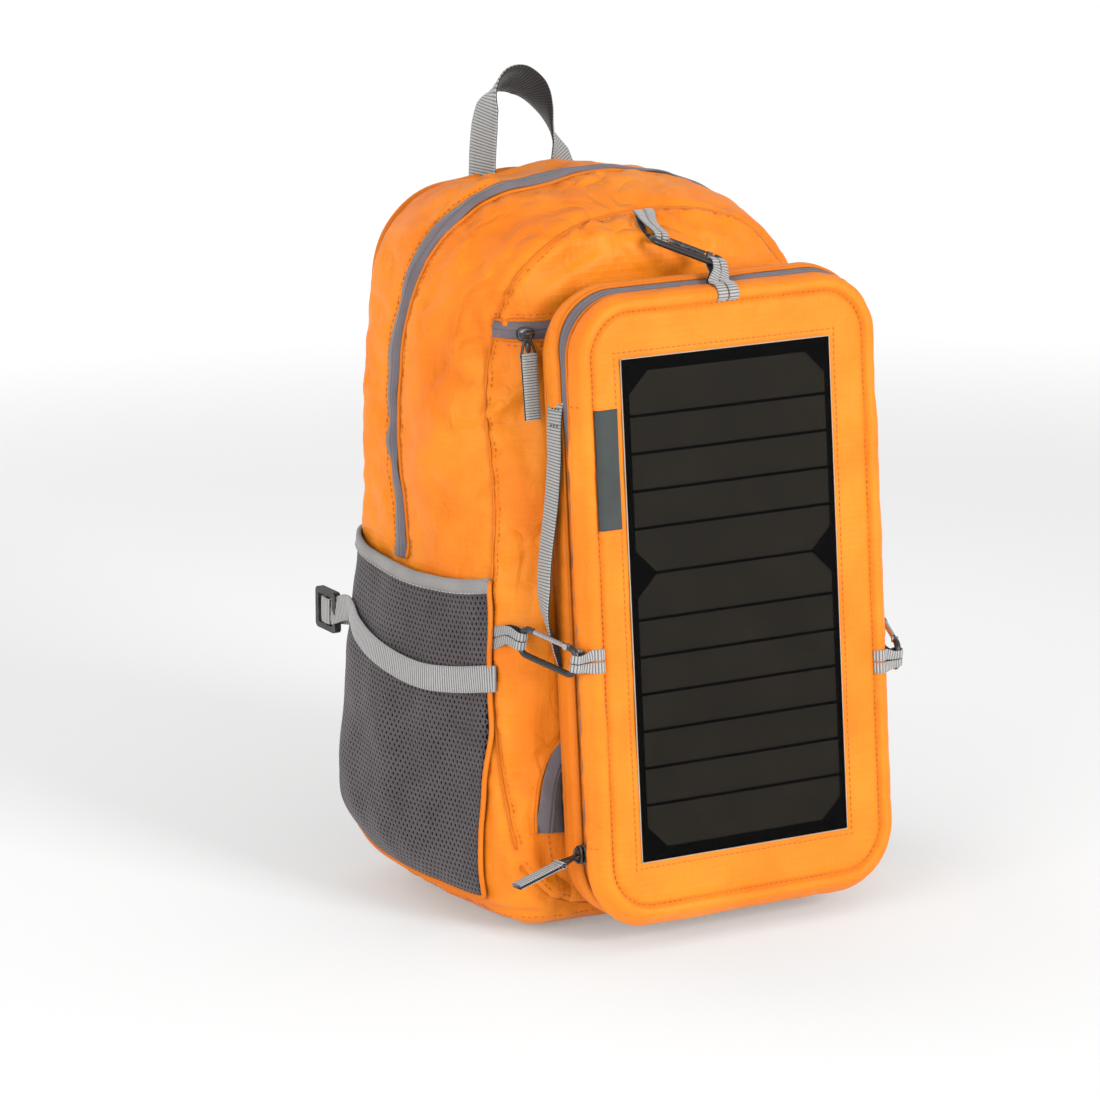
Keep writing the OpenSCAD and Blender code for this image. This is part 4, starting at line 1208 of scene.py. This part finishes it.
class PouchFrame:
    """The pouch's own frame: x across, y into the pouch, z up its face."""

    def __init__(self):
        _, axes, _ = principal_frame("solar_backsheet")
        self.up = axes[0] * np.sign(axes[0][2])
        self.across = np.array([1.0, 0, 0])
        self.inward = np.cross(self.up, self.across)
        self.basis = np.stack([self.across, self.inward, self.up])
        shell = cad_points("pouch_front_shell") @ self.basis.T
        rear = cad_points("pouch_rear_shell") @ self.basis.T
        self.half = (shell.max(0) - shell.min(0))[[0, 2]] / 2
        middle = (shell.max(0) + shell.min(0)) / 2
        self.origin = np.array([middle[0], shell[:, 1].min(), middle[2]]) @ self.basis
        self.depth = rear[:, 1].max() - shell[:, 1].min()
        self.corner = 34.0

    def local(self, points):
        return (np.asarray(points, float) - self.origin) @ self.basis.T

    def world(self, points):
        return np.asarray(points, float) @ self.basis + self.origin

    def turn(self, vectors):
        return np.asarray(vectors, float) @ self.basis

    def box(self, node):
        """A CAD node's limits in this frame."""
        pts = self.local(cad_points(node))
        return pts.min(0), pts.max(0)

    def ring(self, inset):
        """A rounded rectangle set in by inset: (x, z) and outward directions, from the left side's foot."""
        straight, arc = (60, 112), 26
        r = max(self.corner - inset, 0.5)
        w, h = self.half - inset - r
        points, out = [], []
        for k, (cx, cz) in enumerate(((-w, -h), (-w, h), (w, h), (w, -h))):
            angles = math.pi * (1.5 - 0.5 * k) - math.pi / 2 * np.linspace(0, 1, arc)
            d = np.stack([np.cos(angles), np.sin(angles)], 1)
            points.append(np.array([cx, cz]) + d * r)
            out.append(d)
            nx, nz = ((-w, h), (w, h), (w, -h), (-w, -h))[k]
            n = straight[(k + 1) % 2]
            t = np.linspace(0, 1, n + 2)[1:-1, None]
            end = np.array([nx, nz]) + d[-1] * r
            points.append(points[-1][-1] * (1 - t) + end * t)
            out.append(np.tile(d[-1], (n, 1)))
        return np.vstack(points), np.vstack(out)


POUCH = PouchFrame()
CREASE = 9.0
pouch_zip_lo, pouch_zip_hi = POUCH.box("pouch_zip")
POUCH_ZIP = (pouch_zip_lo[1] + pouch_zip_hi[1]) / 2


def gusset_swell(xz, y):
    """How far the pouch bulges: in front of the zip low down, and behind it along the top."""
    low = rise(POUCH.half[1] - 62 - xz[:, 1], 0, 26)
    high = rise(xz[:, 1], POUCH.half[1] - 40, POUCH.half[1] - 8)
    high = high * (1 - 0.3 * np.exp(-((xz[:, 0] - 6) / 12) ** 2))
    front = math.exp(-((y - POUCH_ZIP + 9) / 4.5) ** 2)
    behind = math.exp(-((y - POUCH_ZIP) / 3.4) ** 2)
    slope = 3.8 * rise(y, POUCH_ZIP - 6, POUCH_ZIP + 6) * rise(POUCH.depth + 1 - y, 0, 12)
    return low * (2.2 * front - 1.6 * behind) + high * (slope - 0.8 * front)


def make_pouch_skin():
    p = POUCH
    z0, z1 = POUCH_ZIP - 4, POUCH_ZIP + 4
    d = p.depth
    stations = [(62, 0.0), (48, 0.0), (38, 0.0), (32, -0.1), (28, -0.3), (25, -0.4), (22, -0.5),
                (19, -0.5), (16.5, -0.5), (14, -0.4), (12, -0.2), (10.6, 0.1), (9.6, 0.6), (9, 0.9),
                (8.4, 0.5), (7.4, -0.3), (6.2, -0.8), (4.8, -1.0), (3.4, -0.7), (2.2, 0.0), (1.2, 1.0),
                (0.4, 2.3), (-0.2, 3.8), (-0.8, 5.4), (-1.2, 7.2), (-1.2, 9.0), (-0.7, 10.6),
                (0.2, z0 - 1.4), (0.7, z0 - 0.6), (1.9, z0), (2.3, z0 + 2), (2.3, z1 - 2), (1.9, z1),
                (0.7, z1 + 0.6), (0.1, z1 + 1.4), (-0.7, z1 + 3), (-1.2, z1 + 5), (-1.3, z1 + 7),
                (-1.2, z1 + 9), (-0.8, d - 5), (0.0, d - 3), (1.2, d - 1.4), (3.0, d - 0.8)]
    stations += [(inset, d - 0.6 + 0.1 * (inset > 6)) for inset in (5.5, 9, 14, 22, 34, 48, 62)]
    rows = []
    for inset, y in curve(stations, 5.0):
        xz, out = p.ring(inset)
        xz = xz + out * gusset_swell(xz, y)[:, None]
        rows.append(np.insert(xz, 1, y, 1))
    size = len(rows), len(rows[0])
    skin = make_piece("pouch_skin", p.world(np.vstack(rows)), grid_faces(*size) + end_faces(*size), [ORANGE])
    mesh = bmesh.new()
    mesh.from_mesh(skin.data)
    bmesh.ops.recalc_face_normals(mesh, faces=mesh.faces)
    mesh.to_mesh(skin.data)
    mesh.free()
    pts, nrm = get_points(skin), get_normals(skin)
    local = p.local(pts)
    x, y, z = local.T
    inset = np.min([p.half[0] - np.abs(x), p.half[1] - np.abs(z)], 0)
    side = rise(12 - inset, 0, 6)
    amount = 0.12 + 0.42 * side * rise(y, -3, 2) * rise(p.depth + 1 - y, 0, 3)
    amount = amount + 0.35 * rise(inset, 9, 13) * rise(34 - inset, 0, 8) * (y < 3)
    amount = np.where(y > p.depth - 1, 0.15, amount)
    pts = crumple(pts, nrm, amount, 30, 21.0, (1, 1, 0.8))
    loop = pouch_line(CREASE, 1.0)[0]
    zip_a = np.insert(p.ring(0.6)[0], 1, z0 - 0.8, 1)
    zip_b = np.insert(p.ring(0.6)[0], 1, z1 + 0.8, 1)
    pts = sew(pts, nrm, [(loop, 0.5, 2.0, 0.45),
                         (p.world(zip_a), 0.4, 1.6, 0.5), (p.world(zip_b), 0.4, 1.6, 0.5)])
    set_points(skin, pts)
    place(skin, "pouch", "body_fabric", "pouch_front_shell", "pouch_rear_shell")
    return skin


def pouch_line(inset, y):
    """A closed line round the pouch, and its directions away from the pouch."""
    xz, out = POUCH.ring(inset)
    xz, out = np.vstack([xz, xz[:1]]), np.vstack([out, out[:1]])
    return POUCH.world(np.insert(xz, 1, y, 1)), POUCH.turn(np.insert(out, 1, 0, 1))


def make_pouch_trim(tree):
    p = POUCH
    path, out = pouch_line(1.6, POUCH_ZIP)
    xz = p.local(path)[:, [0, 2]]
    tilt = (gusset_swell(xz, POUCH_ZIP + 3.5) - gusset_swell(xz, POUCH_ZIP - 3.5)) / 7
    path = path + out * gusset_swell(xz, POUCH_ZIP)[:, None]
    out = unit(out - p.inward * tilt[:, None])
    local = p.local(path)
    low = p.box("pouch_zip_slider")[0][2] - 14
    keep = (local[:, 2] > low) & (np.arange(len(path)) < len(path) * 0.86)
    path, out = path[keep], out[keep]
    zipper = band("pouch_zip_tape", path, out, zip_cut(7.6), [TAPE], 1.3)
    place(zipper, "pouch", "zip_tape", "pouch_zip")
    welts, threads, dark = Heap(), Heap(), Heap()
    for y in (POUCH_ZIP - 4.3, POUCH_ZIP + 4.3):
        line, out = pouch_line(0.4, y)
        line = line + out * gusset_swell(p.local(line)[:, [0, 2]], y)[:, None]
        welts.tube(line[:-1], 1.0, 8, closed=True)
    rim, _ = pouch_line(1.3, p.depth - 1.2)
    welts.tube(rim[:-1], 1.2, 8, closed=True)
    welts.make("pouch_piping", WELT, "pouch", "body_fabric")
    line, _ = pouch_line(CREASE, 1.35)
    dark.stitches(line, -p.inward, 3.3, 2.2, 0.3, 0.2)
    dark.make("pouch_crease_stitching", THREAD, "pouch", "body_fabric")
    lo, hi = p.box("solar_backsheet")
    gap = 3.6
    box = [(lo[0] - gap, lo[2] - gap), (lo[0] - gap, hi[2] + gap), (hi[0] + gap, hi[2] + gap),
           (hi[0] + gap, lo[2] - gap), (lo[0] - gap, lo[2] - gap)]
    for a, b in zip(box, box[1:]):
        t = np.linspace(0, 1, 80)[:, None]
        flat = np.array(a) * (1 - t) + np.array(b) * t
        start = p.world(np.insert(flat, 1, -30.0, 1))
        threads.stitches(*shoot(tree, start, p.inward), 3.4, 2.3, 0.3)
    for z in (p.half[1] - 58, -p.half[1] + 45):
        y = np.linspace(3, POUCH_ZIP - 6, 12)
        side = p.world(np.stack([np.full(12, -140.0), y, np.full(12, z)], 1))
        threads.stitches(*shoot(tree, side, p.across), 3.0, 2.1, 0.3)
    threads.make("pouch_stitching", THREAD, "pouch", "body_fabric")
    edge = Heap()
    rim = p.world([(x, (lo[1] + hi[1]) / 2 - 0.3, z) for x, z in
                   ((lo[0], lo[2]), (lo[0], hi[2]), (hi[0], hi[2]), (hi[0], lo[2]))])
    for a, b in zip(rim, np.roll(rim, -1, 0)):
        edge.tube(np.linspace(a, b, 60), 0.38, 8)
    edge.make("panel_edge", PANEL_EDGE, "pouch", "film")


def make_pouch_handle():
    p = POUCH
    lo, hi = p.box("pouch_handle")
    y = (lo[1] + hi[1]) / 2
    w = -p.half[0]
    ctrl = [(w + 2, y - 4, hi[2] + 16), (w - 0.2, y - 4, hi[2] + 13), (w - 1.8, y - 4, hi[2] + 2),
            (w - 2.4, y - 3.5, hi[2] - 16), (w - 4.5, y - 2, hi[2] - 40), (w - 8.2, y, hi[2] - 66),
            (w - 10.6, y, hi[2] - 86), (w - 10.2, y + 1, hi[2] - 101), (w - 6.0, y + 2, hi[2] - 115),
            (w - 1.6, y + 2.5, hi[2] - 124), (w + 1.5, y + 2.5, hi[2] - 130)]
    turn = np.interp(np.linspace(0, 1, len(ctrl)), [0, 0.6, 1], [0, 0.05, 0.62])
    out = [(-math.cos(a * 1.5), math.sin(a * 1.5), 0.0) for a in turn]
    path, out = curve(ctrl, 1.5, out)
    strap = band("pouch_strap", p.world(path), p.turn(out), woven(hi[1] - lo[1] - 1, 1.6, 0.16), WEB, 1.75)
    place(strap, "pouch", "webbing", "pouch_handle")
    threads = Heap()
    for z in (hi[2] + 12, hi[2] + 3):
        y0 = np.linspace(y - 9, y + 1, 8)
        side = p.world(np.stack([np.full(8, w - 40), y0, np.full(8, z)], 1))
        threads.stitches(*shoot(tree_of(strap), side, p.across), 2.6, 2.0, 0.35, 0.2)
    threads.make("pouch_strap_stitching", DARK_WEB, "pouch", "webbing")


# ---------- clip loops ----------

def clip_bar(node, clip, root, turn):
    """A place on the bend at the clip's end, turned from tip to root, with the wire's way and radius."""
    centre, axes, size = principal_frame(clip)
    tip = axes[0] * np.sign((cad_points(node).mean(0) - centre) @ axes[0])
    wide = axes[1] * np.sign((root - centre) @ axes[1])
    bend = (size[1] - size[2]) / 2
    hub = centre + tip * ((size[0] - size[2]) / 2 - bend)
    place_at = hub + (tip * math.cos(turn) + wide * math.sin(turn)) * bend
    return place_at, wide * math.cos(turn) - tip * math.sin(turn), size[2] / 2


def make_loop(node, body, clip, front, back, seam_way, out, turn=0.0):
    """Two narrow webbing rows from the front points round the clip's end and down the back points."""
    bar, wide, wire = clip_bar(node, clip, front[-1], turn)
    wide = wide * np.sign(wide @ seam_way)
    toward = bar - (front[-1] + back[-1]) / 2
    toward = unit(toward - wide * (toward @ wide))
    normal = np.cross(wide, toward)
    normal = normal * np.sign(normal @ out)
    r = wire + 0.8
    reach = max(np.linalg.norm(bar - front[-1]) * 0.45, r + 0.5)
    round_bar = [bar - toward * reach + normal * r * 0.7, bar + normal * r, bar + toward * r,
                 bar - normal * r, bar - toward * reach - normal * r * 0.7]
    middle = list(front) + round_bar + list(back)[::-1]
    way = [seam_way] * len(front) + [wide] * 5 + [seam_way] * len(back)
    spread = [3.5] * len(front) + [2.8, 2.6, 2.6, 2.6, 2.8] + [3.5] * len(back)
    path, carried = curve(middle, 0.8, np.column_stack([way, spread]))
    across = unit(carried[:, :3])
    along = unit(np.gradient(path, axis=0))
    outward = unit(np.cross(across, along))
    outward = outward * np.sign(outward[3] @ out)
    for k in (-1, 1):
        offset = across * (carried[:, 3:] * k)
        name = node.replace("loop", "row_a" if k < 0 else "row_b")
        row = band(name, path + offset, outward, woven(6.2, 1.1, 0.2), WEB, 1.7, 0.35, carried[:, 3] / 3.5)
        place(row, body, "webbing", *([node] if k < 0 else []))


def make_pack_loop(label, seam):
    node, clip = f"{label}_pack_loop", f"{label}_carabiner"
    top = label == "top"
    turn = 0.85 if top else 0.0
    bar = clip_bar(node, clip, np.array([0, 60.0, 400]), turn)[0]
    pts, nrm = seam
    miss = np.linalg.norm(pts - bar, axis=1)
    if top:
        miss = np.abs(pts[:, 0] - bar[0] - 9) + (pts[:, 2] < 300) * 999
    k = int(np.argmin(miss))
    way = unit(pts[k + 2] - pts[k - 2])
    root = pts[k] - nrm[k] * 0.3
    gap = bar - root
    front = [root + nrm[k] * 0.4, root + nrm[k] * 1.5 + gap * 0.15]
    back = [root - nrm[k] * 0.8 + gap * 0.05, root + nrm[k] * 0.1 + gap * 0.2]
    make_loop(node, "pack", clip, front, back, way, nrm[k], turn)


def make_loops(tree, pouch_tree):
    p = POUCH
    seam = seam_lines(tree)["front"]
    for label in ("top", "left", "right"):
        make_pack_loop(label, seam)
    w, h = p.half
    face_lift = np.array([[-0.6], [0.8], [0.9], [1.0]])
    for side, label in SIDES.items():
        node = f"pouch_{label}_loop"
        z = p.local([cad_points(node).mean(0)])[0][2]
        spots = p.world([(side * (w - inset), -40, z) for inset in (8.8, 6.4, 3.8, 1.6)])
        front, nrm = shoot(pouch_tree, spots, p.inward)
        edges = p.world([(side * (w + 50), y, z) for y in (11, 7.5, 5)])
        rear, back_nrm = shoot(pouch_tree, edges, -side * p.across)
        front = front + nrm * face_lift
        rear = rear + back_nrm * np.array([[-0.6], [0.8], [1.2]])
        make_loop(node, "pouch", f"{label}_carabiner", front, rear, p.up, -p.inward)
    bar = clip_bar("pouch_top_loop", "top_carabiner", p.world([0, -20, h]), 0.8)[0]
    x = bar[0] - 4
    spots = p.world([(x, -40, h - inset) for inset in (8.8, 6.2, 3.6, 1.4)])
    front, nrm = shoot(pouch_tree, spots, p.inward)
    over = p.world([(x, y, h + 50) for y in (3.5, 8)])
    top, top_nrm = shoot(pouch_tree, over, -p.up)
    front = np.vstack([front + nrm * face_lift, top + top_nrm * 1.1])
    edges = p.world([(x, y, h + 50) for y in (7, 10.5)])
    rear, back_nrm = shoot(pouch_tree, edges, -p.up)
    rear = rear + back_nrm * np.array([[-0.6], [0.5]])
    make_loop("pouch_top_loop", "pouch", "top_carabiner", front, rear, p.across, -p.inward, 0.8)


def make_label(tree):
    """The plain woven patch beside the panel, lying on the fabric."""
    p = POUCH
    lo, hi = p.box("label_patch")
    cols, rows = 15, 60
    x, z = np.meshgrid(np.linspace(lo[0] + 0.4, hi[0], cols), np.linspace(lo[2], hi[2], rows))
    start = p.world(np.stack([x.ravel(), np.full(x.size, -40.0), z.ravel()], 1))
    on = shoot(tree, start, p.inward)[0]
    patch = make_piece("label_patch_cloth", on - p.inward * 0.55, grid_faces(rows, cols, False), [LABEL])
    thicken(patch, 0.7, 0)
    place(patch, "pouch", "label", "label_patch")


# ---------- sliders and pulls ----------

def bead(heap, centre, axes, radii):
    """A rounded block."""
    power, rows, cols = 3.2, 14, 22
    points = []
    for i in range(1, rows):
        a = math.pi * i / rows - math.pi / 2
        for k in range(cols):
            b = TAU * k / cols
            d = np.array([math.cos(a) * math.cos(b), math.cos(a) * math.sin(b), math.sin(a)])
            size = (np.abs(d) ** power).sum() ** (-1 / power)
            points.append(centre + (d * size * radii) @ axes)
    south, north = centre - axes[2] * radii[2], centre + axes[2] * radii[2]
    faces = grid_faces(rows - 1, cols)
    top = (rows - 2) * cols
    n = len(points)
    faces += [(k, n, (k + 1) % cols) for k in range(cols)]
    faces += [(top + k, top + (k + 1) % cols, n + 1) for k in range(cols)]
    heap.add(points + [south, north], faces)


def make_slider(zipper, node, run, outward):
    """A zip slider: two rounded plates, a neck and the bridge that holds the pull."""
    centre, _, size = principal_frame(node)
    out, run = unit(outward), unit(run)
    side = np.cross(out, run)
    axes = np.stack([run, side, out])
    heap = Heap()
    low = centre - out * (size[2] / 2 - 1.0)
    bead(heap, low, axes, (size[0] / 2, size[1] / 2, 0.9))
    bead(heap, low + out * 2.2, axes, (size[0] / 2 - 0.3, size[1] / 2 - 0.4, 0.95))
    bead(heap, low + out * 1.1, axes, (size[0] / 2 - 2.5, 1.2, 1.6))
    arch = curve([low + out * 2.6 - run * 4.2, low + out * 4.6 - run * 3.0, low + out * 5.2,
                  low + out * 4.6 + run * 3.0, low + out * 2.6 + run * 4.2], 0.6)
    heap.tube(arch, 0.85, 10)
    heap.make(f"{zipper}_slider_body", BLACK_METAL, f"{zipper}_slider", "slider_metal", node)


def make_pull(zipper, node, outside):
    """A pull: ring, wire frame, moulded grip and a folded webbing tab."""
    body = f"{zipper}_pull"
    joint = JOINTS[f"{zipper}_pull_swing"]
    pivot = np.array(joint["pos_m"]) / MM
    centre = principal_frame(node)[0]
    wide = unit(joint["axis"])
    down = unit((centre - pivot) - wide * ((centre - pivot) @ wide))
    out = np.cross(wide, down)
    out = out * np.sign(out @ outside)
    reach = (cad_points(node) - pivot) @ down
    length = reach.max()
    heap = Heap()
    ring = [pivot + wide * 2.4 * math.cos(a) + down * (1.2 + 2.7 * math.sin(a))
            for a in np.linspace(0, TAU, 28)[:-1]]
    heap.tube(ring, 0.75, 10, closed=True)
    leg = [(1.6, 3.2), (2.4, 5.0), (3.6, 8.6), (4.5, 11.6), (3.8, 12.8)]
    wire = [(-a, b) for a, b in leg] + [(0, 13.0)] + leg[::-1] + [(0, 2.9), (-1.6, 3.2)]
    wire = curve(wire, 0.7)[:-1]
    heap.tube([pivot + wide * a + down * b for a, b in wire], 0.8, 10, closed=True)
    axes = np.stack([wide, down, out])
    bead(heap, pivot + down * 7.4, axes, (1.6, 3.0, 1.0))
    for step in (0, 1):
        bead(heap, pivot + down * (13.6 + 1.9 * step), axes, (4.9, 0.95, 1.35))
    heap.make(f"{zipper}_puller_frame", BLACK_METAL, body, "slider_metal", node)
    start, end = 12.2, length - 0.7
    leaf = [(end - 1.0, 0.75), (start + 3.0, 0.8), (start + 0.6, 1.5), (start - 0.9, 0.9)]
    fold = leaf + [(start - 1.1, 0)] + [(a, -b) for a, b in leaf[::-1]]
    path = curve([pivot + down * a + out * b for a, b in fold], 0.6)
    s = lengths(path) / lengths(path)[-1]
    outward = np.where((s < 0.5)[:, None], out, -out)
    near = np.exp(-(((path - pivot) @ down - start + 1) / 1.6) ** 2)[:, None]
    outward = unit(outward * (1 - near) + near * unit(path - pivot - down * (start + 0.6)))
    tab = band(f"{zipper}_puller_tab", path, outward, woven(9.4, 1.15, 0.14), WEB, 1.5, 0.4)
    place(tab, body, "webbing")


def make_all_pulls():
    x = np.array([1.0, 0, 0])
    make_slider("main", "main_zip_slider", JOINTS["main_zip_run"]["axis"], x)
    make_slider("front", "front_pocket_slider", x, [0, -1.0, 0.17])
    make_slider("pouch", "pouch_zip_slider", POUCH.up, -x)
    make_pull("main", "main_zip_pull", x)
    make_pull("front", "front_pocket_pull", -BACK)
    make_pull("pouch", "pouch_zip_pull", [0, 0, 1])


# ---------- the camera, the floor and the light ----------

def make_stage():
    scene = bpy.context.scene
    floor = bpy.data.meshes.new("floor")
    floor.from_pydata([(-9, -9, 0), (9, -9, 0), (9, 9, 0), (-9, 9, 0)], [], [(0, 1, 2, 3)])
    ground = new_object("floor", floor)
    s = Shader("pale_floor", Roughness=0.9, Specular_IOR_Level=0.1)
    far = s.ramp(s.add("ShaderNodeVectorMath", s.place, operation="LENGTH").outputs["Value"], 0.5, 2.4)
    near = s.mix(s.noise(3, 2), (0.80, 0.80, 0.80), (0.83, 0.83, 0.83))
    s.set(Base_Color=s.mix(far, near, (0, 0, 0)))
    s.set(Emission_Color=(1, 1, 1, 1), Emission_Strength=s.ramp(far, 0, 1, 0.20, 1.0))
    floor.materials.append(s.mat)
    world = bpy.data.worlds.new("world")
    world.use_nodes = True
    nodes, links = world.node_tree.nodes, world.node_tree.links
    seen = nodes.new("ShaderNodeLightPath").outputs["Is Camera Ray"]
    strength = nodes.new("ShaderNodeMapRange")
    strength.inputs["To Min"].default_value = 0.62
    strength.inputs["To Max"].default_value = 1.0
    links.new(seen, strength.inputs["Value"])
    links.new(strength.outputs["Result"], nodes["Background"].inputs["Strength"])
    nodes["Background"].inputs["Color"].default_value = (1, 1, 1, 1)
    scene.world = world
    lamps = (("key", (0.9, -3.0, 1.3), 1.2, 66),
             ("fill", (-2.8, -1.4, 0.9), 2.0, 38),
             ("back", (-0.8, 2.6, 1.6), 1.8, 14))
    for name, place_at, size, power in lamps:
        light = bpy.data.lights.new(name, "AREA")
        light.size = size
        light.energy = power
        lamp = new_object(name, light)
        lamp.location = place_at
        lamp.rotation_euler = (Vector((0, 0, 0.2)) - lamp.location).to_track_quat("-Z", "Y").to_euler()
    camera = bpy.data.cameras.new("camera")
    camera.sensor_width = 36
    camera.lens = 170.2
    eye = new_object("camera", camera)
    azimuth, elevation, distance = math.radians(-29.87), math.radians(13.71), 2.9606
    look_at = Vector((-0.0449, 0, 0.1945))
    away = Vector((math.sin(azimuth) * math.cos(elevation), -math.cos(azimuth) * math.cos(elevation),
                   math.sin(elevation)))
    eye.location = look_at + away * distance
    eye.rotation_euler = (-away).to_track_quat("-Z", "Y").to_euler()
    scene.camera = eye
    scene.view_settings.view_transform = "Standard"


dress_cad_nodes()
skin = make_pack_skin()
body_tree = make_body_trim(skin)
make_front_zips(body_tree)
for side in (-1, 1):
    make_compression(make_pocket(body_tree, side), body_tree)
    make_shoulder_strap(side)
make_back_pad()
make_grab_handle()
pouch_tree = tree_of(make_pouch_skin())
make_pouch_trim(pouch_tree)
make_label(pouch_tree)
make_pouch_handle()
make_loops(body_tree, pouch_tree)
make_all_pulls()
make_stage()
